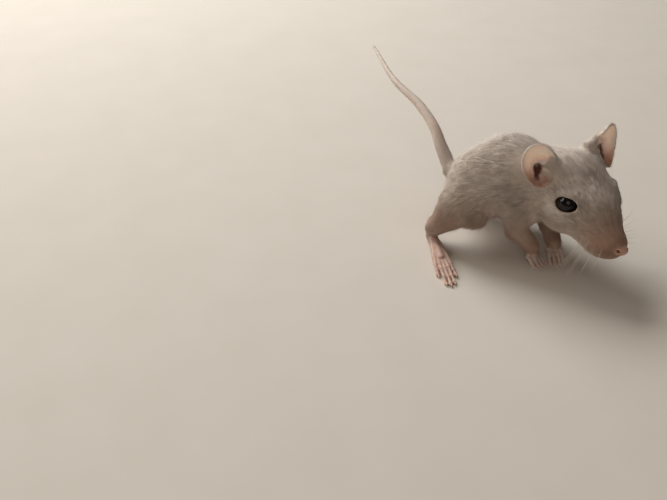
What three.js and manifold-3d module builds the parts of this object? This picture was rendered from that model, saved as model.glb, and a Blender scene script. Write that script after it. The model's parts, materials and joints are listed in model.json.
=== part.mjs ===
// A gerbil pup of about three weeks, life size, standing hunched with its head turned to its right.
// Millimetres. +X points to the way the trunk faces, +Y to the animal's left, +Z up, and the floor is z = 0.
import * as THREE from 'three';
import { mergeVertices } from 'three/addons/utils/BufferGeometryUtils.js';
import Module from 'manifold-3d';

const wasm = await Module();
wasm.setup();

const vec = (x, y, z) => new THREE.Vector3(x, y, z);
const deg = THREE.MathUtils.degToRad;

// Driving sizes

const GAP = 0.3;                  // clearance between neighbouring parts of the body
const TRUNK_CELL = 2.1;          // facet size on the trunk and the limbs
const HEAD_CELL = 1.55;           // facet size on the head

const SPINE = {
  pelvis: vec(-6.8, -2.6, 16.6),
  loin: vec(-0.3, 0.2, 19.9),
  chest: vec(5.4, 2.2, 17.6),
  tailRoot: vec(-16.2, -2.4, 17.6),
};

const HEAD_BACK = vec(8.4, 5.6, 22.0);        // back of the skull, the origin of the head's own frame
const HEAD_TURN = { yaw: -31, pitch: 12 };    // degrees: turned to the right, nose down
const HEAD_SIZE = {
  skull: vec(10.2, 9.6, 9.3),
  face: vec(9.0, 7.6, 7.3),
  whiskerPad: vec(5.9, 5.3, 4.0),
  cheek: vec(6.4, 4.6, 5.0),
  brow: vec(4.4, 3.1, 3.3),
  earRoot: vec(3.8, 3.0, 3.4),
};
const EYE = { at: vec(13.5, 5.95, 2.3), radius: 2.95, lid: 0.4, axis: vec(0.34, 0.86, 0.36) };
const EYE_OPENING = { size: vec(3.1, 1.8, 3.2), tilt: 24 };    // degrees, with the front corner up
const NOSE = { at: vec(28.7, 0, -1.5), size: vec(1.35, 1.75, 1.3), nostril: 0.42 };
const LIP = { width: 0.7, line: 0.34 };

const EAR = { width: 8.0, height: 10.8, depth: 2.7, wall: 0.7 };
const EAR_BEND = { back: 2.6, from: 4.5, to: -0.5 };   // how far the inner edge lies back, between two heights on the ear
const EAR_RIDGE = { low: vec(4.4, -1.6, -3.3), high: vec(3.3, 1.5, -2.3), radii: [1.6, 0.7] };
const EAR_AIR = 3;                 // clear space in front of the rim of each ear

const LEGS = {
  right: { hip: vec(-8, -7, 14.5), knee: vec(-5.2, -9.4, 12), ankle: vec(-15.3, -12.2, 4.6), toes: vec(-2.6, -26.6, 0) },
  left: { hip: vec(-8, 3.5, 14.5), knee: vec(1, 9, 9.5), ankle: vec(-13, 8, 4.6), toes: vec(4, 15.4, 0) },
};
const ARMS = {
  right: { shoulder: vec(5, -5, 15), elbow: vec(5.0, -4.9, 8.2), wrist: vec(10.2, -5.6, 4.6), fingers: vec(13.9, -6.9, 0) },
  left: { shoulder: vec(9, 7, 14.5), elbow: vec(8, 7.5, 8), wrist: vec(14.3, 0.2, 4.0), fingers: vec(17.4, -3.6, 0) },
};

const TAIL_PATH = [
  vec(-16.2, -2.4, 17.6), vec(-20.7, 0.3, 21.8), vec(-24.5, 2.9, 25.5),
  vec(-31.5, 7.0, 28.7), vec(-42.5, 12.2, 31.3), vec(-56.3, 24.1, 34),
];
const TAIL_RADII = [1.9, 1.65, 1.45, 1.25, 0.9, 0.45];

const fur = (colour) => new THREE.MeshStandardMaterial({ color: colour, roughness: 0.9, metalness: 0 });
const BACK_FUR = fur('#a3968a');
const HEAD_FUR = fur('#aa9c8d');
const LIMB_FUR = fur('#a99a8b');
const SKIN = new THREE.MeshStandardMaterial({ color: '#cf9f90', roughness: 0.6, metalness: 0 });
const EAR_SKIN = new THREE.MeshStandardMaterial({ color: '#dba99b', roughness: 0.6, metalness: 0 });
const NOSE_SKIN = new THREE.MeshStandardMaterial({ color: '#b98a7e', roughness: 0.5, metalness: 0 });
const EYE_BLACK = new THREE.MeshStandardMaterial({ color: '#0d0b10', roughness: 0.08, metalness: 0 });

// Ears in the head's frame: the middle of the rim, the way from the notch to the tip, and the way the cup opens
const EAR_POSE = {
  right: { middle: vec(4.8, -10.9, 8.5), lean: vec(-0.56, -0.02, 0.83), facing: vec(0.68, -0.59, 0.44) },
  left: { middle: vec(4.9, 11.0, 8.8), lean: vec(-0.54, 0.32, 0.78), facing: vec(0.83, 0.38, 0.41) },
};

// The head's own frame: x to the nose, y to the left, z to the crown

const headFrame = new THREE.Matrix4()
  .makeRotationFromEuler(new THREE.Euler(0, deg(HEAD_TURN.pitch), deg(HEAD_TURN.yaw), 'ZYX'))
  .setPosition(HEAD_BACK);
const headTurn = new THREE.Quaternion().setFromRotationMatrix(headFrame);
const inHead = (x, y, z) => vec(x, y, z).applyMatrix4(headFrame);
const upright = new THREE.Quaternion();
const turned = (yaw, pitch) => new THREE.Quaternion()
  .setFromEuler(new THREE.Euler(0, deg(pitch), deg(yaw), 'ZYX'));

// Masses of flesh. Each is a field that is negative inside, and neighbours melt into each other.

function egg(centre, radii, turn = upright) {
  const back = turn.clone().invert();
  const q = vec(0, 0, 0);
  return (p) => {
    q.copy(p).sub(centre).applyQuaternion(back);
    const near = Math.hypot(q.x / radii.x, q.y / radii.y, q.z / radii.z);
    const slope = Math.hypot(q.x / radii.x ** 2, q.y / radii.y ** 2, q.z / radii.z ** 2);
    return near * (near - 1) / Math.max(slope, 1e-9);
  };
}

function roundCone(start, end, startRadius, endRadius) {
  const axis = end.clone().sub(start);
  const length = axis.length();
  axis.divideScalar(length);
  const lean = (startRadius - endRadius) / length;
  const flank = Math.sqrt(1 - lean * lean);
  const q = vec(0, 0, 0);
  return (p) => {
    q.copy(p).sub(start);
    const along = q.dot(axis);
    const out = Math.sqrt(Math.max(q.lengthSq() - along * along, 0));
    const turn = along * flank - out * lean;
    if (turn < 0) return Math.hypot(along, out) - startRadius;
    if (turn > length * flank) return Math.hypot(along - length, out) - endRadius;
    return out * flank + along * lean - startRadius;
  };
}

function melt(a, b, width) {
  const h = Math.min(Math.max(0.5 + 0.5 * (b - a) / width, 0), 1);
  return b + (a - b) * h - width * h * (1 - h);
}

function meltAll(masses, hollows = []) {
  return (p) => {
    let distance = 1e3;
    for (const [field, width] of masses) distance = melt(distance, field(p), width);
    for (const [field, width] of hollows) distance = -melt(-distance, field(p), width);
    return distance;
  };
}

function trunkMasses() {
  const throat = SPINE.chest.clone().add(vec(2, 0.5, 0.2));
  const rump = SPINE.tailRoot.clone().add(vec(4, 0.5, -1.5));
  return [
    [egg(SPINE.pelvis, vec(8.7, 8.6, 9.2), turned(20, -25)), 3],
    [egg(SPINE.loin, vec(11.5, 10.8, 11.3), turned(12, 2)), 5],
    [egg(SPINE.chest, vec(9.4, 8.8, 9.3), turned(0, 4)), 5],
    [roundCone(throat, inHead(2.5, 0, -1.2), 7.8, 7.4), 4],
    [roundCone(rump, rump.clone().lerp(SPINE.tailRoot, 0.7), 4.2, 2.4), 2.5],
  ];
}

function limbMasses() {
  const masses = [];
  for (const [side, { hip, knee, ankle }] of Object.entries(LEGS)) {
    const outward = side === 'right' ? -1 : 1;
    const ham = hip.clone().add(vec(-2.6, 1.2 * outward, -2));
    masses.push([roundCone(hip, knee, 6.4, 4.3), 3]);
    masses.push([roundCone(ham, ankle.clone().add(vec(0.6, 0, 0.6)), 5.2, 2.0), 2]);
    masses.push([roundCone(knee, ankle, 3.7, 1.9), 2]);
  }
  for (const { shoulder, elbow, wrist } of Object.values(ARMS)) {
    masses.push([roundCone(shoulder, elbow, 4.6, 2.7), 3]);
    masses.push([roundCone(elbow, wrist, 3.1, 2.0), 1.2]);
  }
  return masses;
}

function headMasses() {
  const masses = [
    [egg(inHead(7.5, 0, 0.5), HEAD_SIZE.skull, headTurn), 3],
    [egg(inHead(14.5, 0, -0.8), HEAD_SIZE.face, headTurn), 3],
    [roundCone(inHead(16, 0, -0.6), inHead(25.6, 0, -2.2), 6.3, 3.4), 2.5],
    [egg(inHead(22.2, 0, -3.8), HEAD_SIZE.whiskerPad, headTurn), 1.5],
    [roundCone(inHead(11, 0, -4.9), inHead(20.5, 0, -6.0), 4.8, 2.8), 2],
  ];
  for (const side of [-1, 1]) {
    masses.push([egg(inHead(4.6, 6.4 * side, 4.4), HEAD_SIZE.earRoot, headTurn), 3]);
    masses.push([egg(inHead(11, 4.9 * side, -3.2), HEAD_SIZE.cheek, headTurn), 2]);
    masses.push([egg(inHead(14.2, 5.0 * side, 2.0), HEAD_SIZE.brow, headTurn), 2]);
    const eyeball = inHead(EYE.at.x, EYE.at.y * side, EYE.at.z);
    const lidRadius = EYE.radius + GAP + EYE.lid;
    masses.push([egg(eyeball, vec(lidRadius, lidRadius, lidRadius)), 0.8]);
    // a furred ridge from the crown up the inner edge of the ear
    const { centre, across, up, out } = earAxes(side < 0 ? 'right' : 'left');
    const [low, high] = [EAR_RIDGE.low, EAR_RIDGE.high].map((p) => centre.clone()
      .addScaledVector(across, -p.x * side).addScaledVector(up, p.y).addScaledVector(out, p.z));
    masses.push([roundCone(low, high, ...EAR_RIDGE.radii), 1]);
  }
  return masses;
}

function earAxes(side) {
  const { middle, lean, facing } = EAR_POSE[side];
  const up = lean.clone().normalize().applyQuaternion(headTurn);
  const out = facing.clone().applyQuaternion(headTurn).projectOnPlane(up).normalize();
  return { centre: inHead(middle.x, middle.y, middle.z), across: up.clone().cross(out), up, out };
}

function earPlace(side) {
  const { centre, across, up, out } = earAxes(side);
  return new THREE.Matrix4().makeBasis(across, up, out).setPosition(centre);
}

function templeHollows() {
  // the head stays clear of the mouth of each ear
  return ['right', 'left'].map((side) => {
    const { centre, out } = earAxes(side);
    const turn = new THREE.Quaternion().setFromRotationMatrix(earPlace(side));
    return [egg(centre.clone().addScaledVector(out, 1.6), vec(4.0, 5.4, 3.4), turn), 1.2];
  });
}

const headField = meltAll(headMasses(), templeHollows());
const bodyField = meltAll([...trunkMasses(), ...limbMasses(), ...headMasses()], templeHollows());

// The skin of a field: one vertex in each crossed cell of a grid, pulled onto the surface

function slopeOf(field, p, step) {
  const g = vec(0, 0, 0);
  for (const axis of ['x', 'y', 'z']) {
    const a = p.clone();
    const b = p.clone();
    a[axis] += step;
    b[axis] -= step;
    g[axis] = (field(a) - field(b)) / (2 * step);
  }
  return g;
}

function pullOnto(field, p, level, reach) {
  for (let round = 0; round < 3; round++) {
    const g = slopeOf(field, p, reach * 0.1);
    const step = g.multiplyScalar((level - field(p)) / Math.max(g.lengthSq(), 0.05));
    p.add(step.clampLength(0, reach));
  }
  return p;
}

function skinOf(field, { low, high, cell, frame = new THREE.Matrix4(), level = 0 }) {
  const count = ['x', 'y', 'z'].map((axis) => Math.ceil((high[axis] - low[axis]) / cell) + 1);
  const at = (i, j, k) => (i * count[1] + j) * count[2] + k;
  const place = (i, j, k) => vec(low.x + i * cell, low.y + j * cell, low.z + k * cell).applyMatrix4(frame);
  const value = new Float64Array(count[0] * count[1] * count[2]);
  for (let i = 0; i < count[0]; i++) {
    for (let j = 0; j < count[1]; j++) {
      for (let k = 0; k < count[2]; k++) value[at(i, j, k)] = field(place(i, j, k)) - level;
    }
  }
  const corners = [];
  for (let n = 0; n < 8; n++) corners.push([n & 1, (n >> 1) & 1, (n >> 2) & 1]);
  const positions = [];
  const vertexOf = new Map();
  for (let i = 0; i < count[0] - 1; i++) {
    for (let j = 0; j < count[1] - 1; j++) {
      for (let k = 0; k < count[2] - 1; k++) {
        const values = corners.map(([a, b, c]) => value[at(i + a, j + b, k + c)]);
        const inside = values.filter((v) => v < 0).length;
        if (inside === 0 || inside === 8) continue;
        const sum = vec(0, 0, 0);
        let crossings = 0;
        for (let m = 0; m < 8; m++) {
          for (const bit of [1, 2, 4]) {
            if (m & bit || (values[m] < 0) === (values[m | bit] < 0)) continue;
            const share = values[m] / (values[m] - values[m | bit]);
            const from = place(i + corners[m][0], j + corners[m][1], k + corners[m][2]);
            const to = place(i + corners[m | bit][0], j + corners[m | bit][1], k + corners[m | bit][2]);
            sum.add(from.lerp(to, share));
            crossings += 1;
          }
        }
        vertexOf.set(at(i, j, k), positions.length / 3);
        positions.push(...pullOnto(field, sum.divideScalar(crossings), level, cell * 0.4).toArray());
      }
    }
  }
  const index = [];
  const unit = [[1, 0, 0], [0, 1, 0], [0, 0, 1]];
  for (let i = 1; i < count[0] - 1; i++) {
    for (let j = 1; j < count[1] - 1; j++) {
      for (let k = 1; k < count[2] - 1; k++) {
        for (let axis = 0; axis < 3; axis++) {
          const [a, b, c] = unit[axis];
          const here = value[at(i, j, k)] < 0;
          if (here === value[at(i + a, j + b, k + c)] < 0) continue;
          const u = unit[(axis + 1) % 3];
          const w = unit[(axis + 2) % 3];
          const around = [[1, 1], [0, 1], [0, 0], [1, 0]].map(([s, t]) => vertexOf.get(at(
            i - s * u[0] - t * w[0], j - s * u[1] - t * w[1], k - s * u[2] - t * w[2])));
          if (!here) around.reverse();
          index.push(around[0], around[1], around[2], around[0], around[2], around[3]);
        }
      }
    }
  }
  const geometry = new THREE.BufferGeometry();
  geometry.setAttribute('position', new THREE.Float32BufferAttribute(positions, 3));
  geometry.setIndex(index);
  return geometry;
}

// Solids: closed meshes that can be joined and cut

function solid(geometry) {
  const plain = geometry.clone();
  plain.deleteAttribute('normal');
  plain.deleteAttribute('uv');
  const merged = mergeVertices(plain, 1e-4);
  const mesh = new wasm.Mesh({
    numProp: 3,
    vertProperties: new Float32Array(merged.attributes.position.array),
    triVerts: new Uint32Array(merged.index.array),
  });
  return new wasm.Manifold(mesh);
}

function largest(shape) {
  return shape.decompose().reduce((best, piece) => (piece.volume() > best.volume() ? piece : best));
}

function placed(geometry, centre, turn = upright) {
  return solid(geometry.applyMatrix4(new THREE.Matrix4().compose(centre, turn, vec(1, 1, 1))));
}

function eggSolid(centre, radii, turn = upright, grow = 0, sides = 14) {
  const geometry = new THREE.SphereGeometry(1, sides, Math.round(sides * 0.6));
  geometry.scale(radii.x + grow, radii.y + grow, radii.z + grow);
  return placed(geometry, centre, turn);
}

const HALF = 80;                  // size of the blocks that cut the body along a plane
function block(point, normal, grow = 0) {
  // everything on the side of the plane that the normal points to
  const n = normal.clone().normalize();
  const turn = new THREE.Quaternion().setFromUnitVectors(vec(0, 0, 1), n);
  return placed(new THREE.BoxGeometry(HALF, HALF, HALF), point.clone().addScaledVector(n, HALF / 2 - grow), turn);
}

function capsuleSolid(start, end, radius) {
  const axis = end.clone().sub(start);
  const geometry = new THREE.CapsuleGeometry(radius, axis.length(), 2, 12);
  const turn = new THREE.Quaternion().setFromUnitVectors(vec(0, 1, 0), axis.clone().normalize());
  return placed(geometry, start.clone().add(end).multiplyScalar(0.5), turn);
}

// Outlines seen from the side, pushed through the flank of one side of the body

function ellipseOutline({ x, z, width, height, tilt = 0 }, grow) {
  const outline = new THREE.Shape();
  outline.absellipse(x, z, width / 2 + grow, height / 2 + grow, 0, Math.PI * 2, false, deg(tilt));
  return outline;
}

function stadiumOutline({ from, to, radius }, grow) {
  const outline = new THREE.Shape();
  const angle = Math.atan2(to[1] - from[1], to[0] - from[0]);
  outline.absarc(to[0], to[1], radius + grow, angle - Math.PI / 2, angle + Math.PI / 2);
  outline.absarc(from[0], from[1], radius + grow, angle + Math.PI / 2, angle + Math.PI * 1.5);
  return outline;
}

function flankCutter(outline, side, inner, grow) {
  const depth = 24;
  const geometry = new THREE.ExtrudeGeometry(outline, { depth, bevelEnabled: false, curveSegments: 10 });
  geometry.rotateX(Math.PI / 2);
  const start = side === 'right' ? -inner + grow : inner + depth - grow;
  return solid(geometry.translate(0, start, 0));
}

// A tapering length with rounded ends along a curve. radii run from start to end, flat squashes it upright.

function taper(points, radii, { sides = 8, steps = 5, flat = 1, up = vec(0, 0, 1), caps = 2 } = {}) {
  const curve = new THREE.CatmullRomCurve3(points, false, 'centripetal');
  const radiusAt = (t) => {
    const x = t * (radii.length - 1);
    const i = Math.min(Math.floor(x), radii.length - 2);
    return THREE.MathUtils.lerp(radii[i], radii[i + 1], x - i);
  };
  const rings = [];
  for (let c = caps; c >= 1; c--) rings.push([0, -Math.sin(c * Math.PI / 2 / (caps + 1)), Math.cos(c * Math.PI / 2 / (caps + 1))]);
  for (let s = 0; s <= steps; s++) rings.push([s / steps, 0, 1]);
  for (let c = 1; c <= caps; c++) rings.push([1, Math.sin(c * Math.PI / 2 / (caps + 1)), Math.cos(c * Math.PI / 2 / (caps + 1))]);
  const positions = [];
  const index = [];
  const first = curve.getPointAt(0).addScaledVector(curve.getTangentAt(0), -radiusAt(0));
  const last = curve.getPointAt(1).addScaledVector(curve.getTangentAt(1), radiusAt(1));
  positions.push(...first.toArray());
  for (const [t, push, shrink] of rings) {
    const tangent = curve.getTangentAt(t);
    const side = tangent.clone().cross(up).normalize();
    const top = side.clone().cross(tangent);
    const centre = curve.getPointAt(t).addScaledVector(tangent, push * radiusAt(t));
    for (let n = 0; n < sides; n++) {
      const angle = n / sides * Math.PI * 2;
      const r = radiusAt(t) * shrink;
      positions.push(...centre.clone().addScaledVector(side, Math.cos(angle) * r)
        .addScaledVector(top, Math.sin(angle) * r * flat).toArray());
    }
  }
  positions.push(...last.toArray());
  const end = positions.length / 3 - 1;
  for (let n = 0; n < sides; n++) {
    const m = (n + 1) % sides;
    index.push(0, 1 + n, 1 + m);
    for (let r = 0; r < rings.length - 1; r++) {
      const a = 1 + r * sides;
      index.push(a + n, a + sides + m, a + m, a + n, a + sides + n, a + sides + m);
    }
    index.push(end, end - sides + m, end - sides + n);
  }
  const geometry = new THREE.BufferGeometry();
  geometry.setAttribute('position', new THREE.Float32BufferAttribute(positions, 3));
  geometry.setIndex(index);
  return solid(geometry);
}

const joined = (pieces) => pieces.reduce((all, piece) => all.add(piece));

// The group that holds every part

const gerbil = new THREE.Group();

const GRAIN = 1000;               // vertices are rounded to a thousandth of a millimetre

function settle(shape) {
  // one closed body with rounded vertices, without the slivers that rounding flattens
  const mesh = largest(shape).getMesh();
  const positions = [];
  const numbers = new Map();
  let renumber = [];
  for (let v = 0; v < mesh.vertProperties.length; v += 3) {
    const point = [0, 1, 2].map((axis) => Math.round(mesh.vertProperties[v + axis] * GRAIN) / GRAIN);
    const key = point.join(' ');
    if (!numbers.has(key)) {
      numbers.set(key, positions.length / 3);
      positions.push(...point);
    }
    renumber.push(numbers.get(key));
  }
  let corners = [...mesh.triVerts];
  let faces = new Map();
  for (let pinched = true; pinched;) {
    faces = new Map();
    const edges = new Map();
    for (let f = 0; f < corners.length; f += 3) {
      const face = [0, 1, 2].map((corner) => renumber[corners[f + corner]]);
      if (new Set(face).size < 3) continue;
      const key = [...face].sort((a, b) => a - b).join(' ');
      if (faces.has(key)) faces.delete(key);
      else faces.set(key, face);
    }
    for (const [a, b, c] of faces.values()) {
      for (const edge of [[a, b], [b, c], [c, a]]) {
        const key = edge.sort((first, second) => first - second).join(' ');
        edges.set(key, (edges.get(key) ?? 0) + 1);
      }
    }
    // an edge that more than two faces share is drawn together into one point
    const shared = [...edges].find(([, count]) => count > 2);
    pinched = shared !== undefined;
    if (pinched) {
      const [kept, dropped] = shared[0].split(' ').map(Number);
      corners = [...faces.values()].flat();
      renumber = Array.from({ length: positions.length / 3 }, (_, number) => (number === dropped ? kept : number));
    }
  }
  const geometry = new THREE.BufferGeometry();
  geometry.setAttribute('position', new THREE.Float32BufferAttribute(positions, 3));
  geometry.setIndex([...faces.values()].flat());
  return geometry;
}

function addPart(name, shape, material) {
  const geometry = settle(shape);
  geometry.computeVertexNormals();
  const part = new THREE.Mesh(geometry, material);
  part.name = name;
  gerbil.add(part);
}

// Cutting

function split(shape, point, normal) {
  // the part in front of the plane and the part behind it, with the gap between them
  const n = normal.clone().normalize();
  const front = shape.intersect(block(point, n, -GAP / 2));
  const behind = shape.intersect(block(point, n.clone().negate(), -GAP / 2));
  return [front, behind];
}

function take(shape, cutter) {
  // the part inside a cutter, and the rest kept clear of it
  return [shape.intersect(cutter(0)), shape.subtract(cutter(GAP))];
}

// The whole body as one skin, coarse for the trunk and fine for the head and the lower limbs

const earBed = (side) => solid(earCup(side, { fill: EAR_AIR, grow: GAP }).applyMatrix4(earPlace(side)));
const earBeds = earBed('right').add(earBed('left'));
const trunkBox = { low: vec(-24, -24, -1), high: vec(44, 24, 40) };
const trunkSkin = solid(skinOf(bodyField, { ...trunkBox, cell: TRUNK_CELL })).subtract(earBeds);
const headBox = { low: vec(-40, -32, -34), high: vec(34, 24, 20), frame: headFrame };
const fineSkin = solid(skinOf(bodyField, { ...headBox, cell: HEAD_CELL })).subtract(earBeds);
const clearSkin = solid(skinOf(bodyField, { ...headBox, cell: HEAD_CELL, level: GAP }));

// Limbs come off first, then the trunk is parted from the head back to the rump.

const LIMB_CUTS = {
  right: {
    shank: { from: [-7.4, 8.6], to: [-16.6, 4.4], radius: 3.6, inner: 6.4 },
    thigh: { x: -7.8, z: 12.4, width: 17, height: 15, tilt: 0, inner: 3.4 },
    upperArm: { x: 3.0, z: 11.8, width: 9.4, height: 11, inner: 2.6 },
  },
  left: {
    shank: { from: [-3.2, 7.6], to: [-14.4, 4.4], radius: 3.4, inner: 4.6 },
    thigh: { x: -6.2, z: 12, width: 18, height: 14.6, tilt: 0, inner: 3.0 },
    upperArm: { x: 8.4, z: 11.2, width: 8.6, height: 10.4, inner: 4.4 },
  },
};
const FOREARM_SLEEVE = 4.2;       // the sleeve that holds a forearm, wider than the arm itself
const ELBOW_CUT = 1.6;            // the forearm starts this far below the elbow
const ANKLE_LEVEL = 4.2;

let coarse = trunkSkin;
let fine = fineSkin;
for (const side of ['right', 'left']) {
  const { shank, thigh, upperArm } = LIMB_CUTS[side];
  const { elbow, wrist } = ARMS[side];
  const forearmAxis = wrist.clone().sub(elbow).normalize();
  const elbowAt = elbow.clone().addScaledVector(forearmAxis, ELBOW_CUT);
  const forearmCutter = (grow) => capsuleSolid(elbow, wrist.clone().addScaledVector(forearmAxis, 4), FOREARM_SLEEVE + grow)
    .intersect(block(elbowAt, forearmAxis, grow));
  const shankCutter = (grow) => flankCutter(stadiumOutline(shank, grow), side, shank.inner, grow);
  const thighCutter = (grow) => flankCutter(ellipseOutline(thigh, grow), side, thigh.inner, grow);
  const armCutter = (grow) => flankCutter(ellipseOutline(upperArm, grow), side, upperArm.inner, grow);
  addPart(`forearm_${side}`, split(fine.intersect(forearmCutter(0)), wrist, forearmAxis)[1], LIMB_FUR);
  addPart(`shank_${side}`, split(fine.intersect(shankCutter(0)), vec(0, 0, ANKLE_LEVEL), vec(0, 0, 1))[0], LIMB_FUR);
  coarse = coarse.subtract(shankCutter(GAP)).subtract(forearmCutter(GAP));
  fine = fine.subtract(forearmCutter(GAP)).subtract(armCutter(GAP));
  const [thighPiece, withoutThigh] = take(coarse, thighCutter);
  const [armPiece, withoutArm] = take(withoutThigh, armCutter);
  addPart(`thigh_${side}`, thighPiece, BACK_FUR);
  addPart(`upper_arm_${side}`, armPiece, LIMB_FUR);
  coarse = withoutArm;
}

const nape = inHead(-1.2, 0, 8);
const throat = inHead(7.0, 0, -7.5);
const headLeft = vec(0, 1, 0).applyQuaternion(headTurn);
const headCut = throat.clone().sub(nape).cross(headLeft);
const headWhole = split(fine, nape, headCut)[0];
const [neck, trunk] = split(split(coarse, nape, headCut)[1], vec(5.2, 3, 22), vec(0.95, -0.12, 0.27));
const [chest, behindChest] = split(trunk, vec(-1.6, 0, 20), vec(0.98, 0.14, 0.1));
const [abdomen, rump] = split(behindChest, vec(-8.6, -2, 18), vec(0.88, 0.28, 0.38));
addPart('neck', neck, HEAD_FUR);
addPart('chest', chest, BACK_FUR);
addPart('abdomen', abdomen, BACK_FUR);
addPart('rump', rump, BACK_FUR);

// Head: sockets with open lids, lips with the line of the mouth, the bed of the nose

function mouthPath(level) {
  const half = [[17.2, 5.0, -6.4], [19.8, 4.2, -7.6], [22.6, 2.6, -8.2]];
  const points = [
    ...half.map(([x, y, z]) => inHead(x, -y, z)),
    inHead(24.4, 0, -8.2),
    ...half.reverse().map(([x, y, z]) => inHead(x, y, z)),
  ];
  return points.map((p) => pullOnto(headField, p, level, 1.5));
}

function addHead() {
  const crown = vec(0, 0, 1).applyQuaternion(headTurn);
  const lips = taper(mouthPath(-0.35), [LIP.width, LIP.width], { sides: 6, steps: 12, up: crown });
  const line = taper(mouthPath(0.2), [LIP.line, LIP.line], { sides: 5, steps: 12, up: crown });
  const noseAt = inHead(NOSE.at.x, NOSE.at.y, NOSE.at.z);
  const cleft = taper([inHead(29.6, 0, -2.6), inHead(29.2, 0, -4.4), inHead(27.4, 0, -7.2)], [0.34, 0.3], { sides: 5, steps: 4 });
  let head = headWhole.add(lips).subtract(line).subtract(cleft);
  head = head.subtract(eggSolid(noseAt, NOSE.size, headTurn, GAP));
  let nose = eggSolid(noseAt, NOSE.size, headTurn);
  for (const [side, sign] of [['right', -1], ['left', 1]]) {
    const eyeball = inHead(EYE.at.x, EYE.at.y * sign, EYE.at.z);
    const outward = vec(EYE.axis.x, EYE.axis.y * sign, EYE.axis.z).normalize().applyQuaternion(headTurn);
    const socket = EYE.radius + GAP;
    const opening = new THREE.SphereGeometry(1, 16, 8);
    opening.scale(EYE_OPENING.size.x, EYE_OPENING.size.y, EYE_OPENING.size.z);
    const tilt = deg(EYE_OPENING.tilt);
    const along = vec(Math.cos(tilt), 0, Math.sin(tilt)).applyQuaternion(headTurn).projectOnPlane(outward).normalize();
    const basis = new THREE.Matrix4()
      .makeBasis(along, outward.clone().cross(along), outward)
      .setPosition(eyeball.clone().addScaledVector(outward, EYE_OPENING.size.z));
    head = head.subtract(eggSolid(eyeball, vec(socket, socket, socket)));
    head = head.subtract(solid(opening.applyMatrix4(basis)));
    addPart(`eye_${side}`, eggSolid(eyeball, vec(EYE.radius, EYE.radius, EYE.radius), headTurn, 0, 16), EYE_BLACK);
    const nostril = [inHead(30.2, 0.95 * sign, -1.9), inHead(29.4, 1.5 * sign, -1.4), inHead(28.6, 2.3 * sign, -1.5)];
    nose = nose.subtract(taper(nostril, [NOSE.nostril, NOSE.nostril], { sides: 6, steps: 3 }));
  }
  addPart('head', head, HEAD_FUR);
  addPart('nose', nose, NOSE_SKIN);
}
addHead();

// Ears: an open cup on a short root that sinks towards the skull

function earCup(side, { fill = 0, grow = 0, wall = EAR.wall } = {}) {
  // with a fill, the closed body of the cup and the air in it, that high above the rim
  const rings = 5;
  const spokes = 20;
  const positions = [];
  const index = [];
  const point = (reach, spoke, back) => {
    const angle = spoke / spokes * Math.PI * 2;
    const up = -Math.cos(angle);
    const across = Math.sin(angle) * (1 + 0.14 * up);
    const x = across * (EAR.width / 2 + grow) * reach;
    const y = up * (EAR.height / 2 + grow) * reach - 0.1 * EAR.height * (1 - reach);
    const bowl = EAR.depth * (1 - reach ** 2) * (1 - 0.25 * up * reach);
    const curl = 0.9 * reach * Math.max(-up, 0) ** 2;
    const inward = Math.max((side === 'right' ? x : -x) / (EAR.width / 2), 0);
    const bend = EAR_BEND.back * inward ** 2 * (1 - THREE.MathUtils.smoothstep(y, EAR_BEND.to, EAR_BEND.from));
    if (fill && !back) return [x, y, fill - bend];
    return [x, y, curl - bowl - bend - (back ? wall + grow : 0)];
  };
  for (const back of [false, true]) {
    const start = positions.length / 3;
    positions.push(...point(0, 0, back));
    for (let r = 1; r <= rings; r++) {
      for (let s = 0; s < spokes; s++) positions.push(...point(r / rings, s, back));
    }
    const face = (a, b, c) => index.push(...(back ? [a, b, c] : [a, c, b]));
    for (let s = 0; s < spokes; s++) {
      const t = (s + 1) % spokes;
      face(start, start + 1 + t, start + 1 + s);
      for (let r = 0; r < rings - 1; r++) {
        const a = start + 1 + r * spokes;
        face(a + s, a + t, a + spokes + t);
        face(a + s, a + spokes + t, a + spokes + s);
      }
    }
  }
  const rim = 1 + (rings - 1) * spokes;
  const backRim = rim + 1 + rings * spokes;
  for (let s = 0; s < spokes; s++) {
    const t = (s + 1) % spokes;
    index.push(rim + s, backRim + s, backRim + t, rim + s, backRim + t, rim + t);
  }
  const geometry = new THREE.BufferGeometry();
  geometry.setAttribute('position', new THREE.Float32BufferAttribute(positions, 3));
  geometry.setIndex(index);
  return geometry;
}

function addEar(side) {
  const { centre, up, out } = earAxes(side);
  const cup = solid(earCup(side).applyMatrix4(earPlace(side)));
  const bowlBack = centre.clone().addScaledVector(up, -EAR.height * 0.18).addScaledVector(out, -EAR.depth * 0.9);
  const inner = inHead(5.8, (side === 'right' ? -1 : 1) * 5.5, 3);
  const stalk = taper([inner, bowlBack], [2.8, 2.0], { sides: 10, steps: 3, up });
  const air = solid(earCup(side, { fill: EAR.depth + 4, wall: 0 }).applyMatrix4(earPlace(side)));
  addPart(`ear_${side}`, cup.add(stalk.subtract(clearSkin).subtract(air)), EAR_SKIN);
}
addEar('right');
addEar('left');

// Feet and hands: flat soles on the floor, five toes or four fingers, each with a claw

const floorCut = (shape) => shape.intersect(block(vec(0, 0, 0), vec(0, 0, 1)));

function digit(base, knuckle, tip, radius) {
  const forward = tip.clone().sub(knuckle).setZ(0).normalize();
  const clawTip = tip.clone().addScaledVector(forward, 1.35).setZ(0.3);
  const nail = taper([tip.clone().addScaledVector(forward, 0.1).setZ(tip.z + 0.15), clawTip], [radius * 0.5, 0.1], { sides: 4, steps: 1, caps: 1 });
  return taper([base, knuckle, tip], [radius, radius * 0.95, radius * 0.78], { sides: 6, steps: 3, caps: 1 }).add(nail);
}

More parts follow.
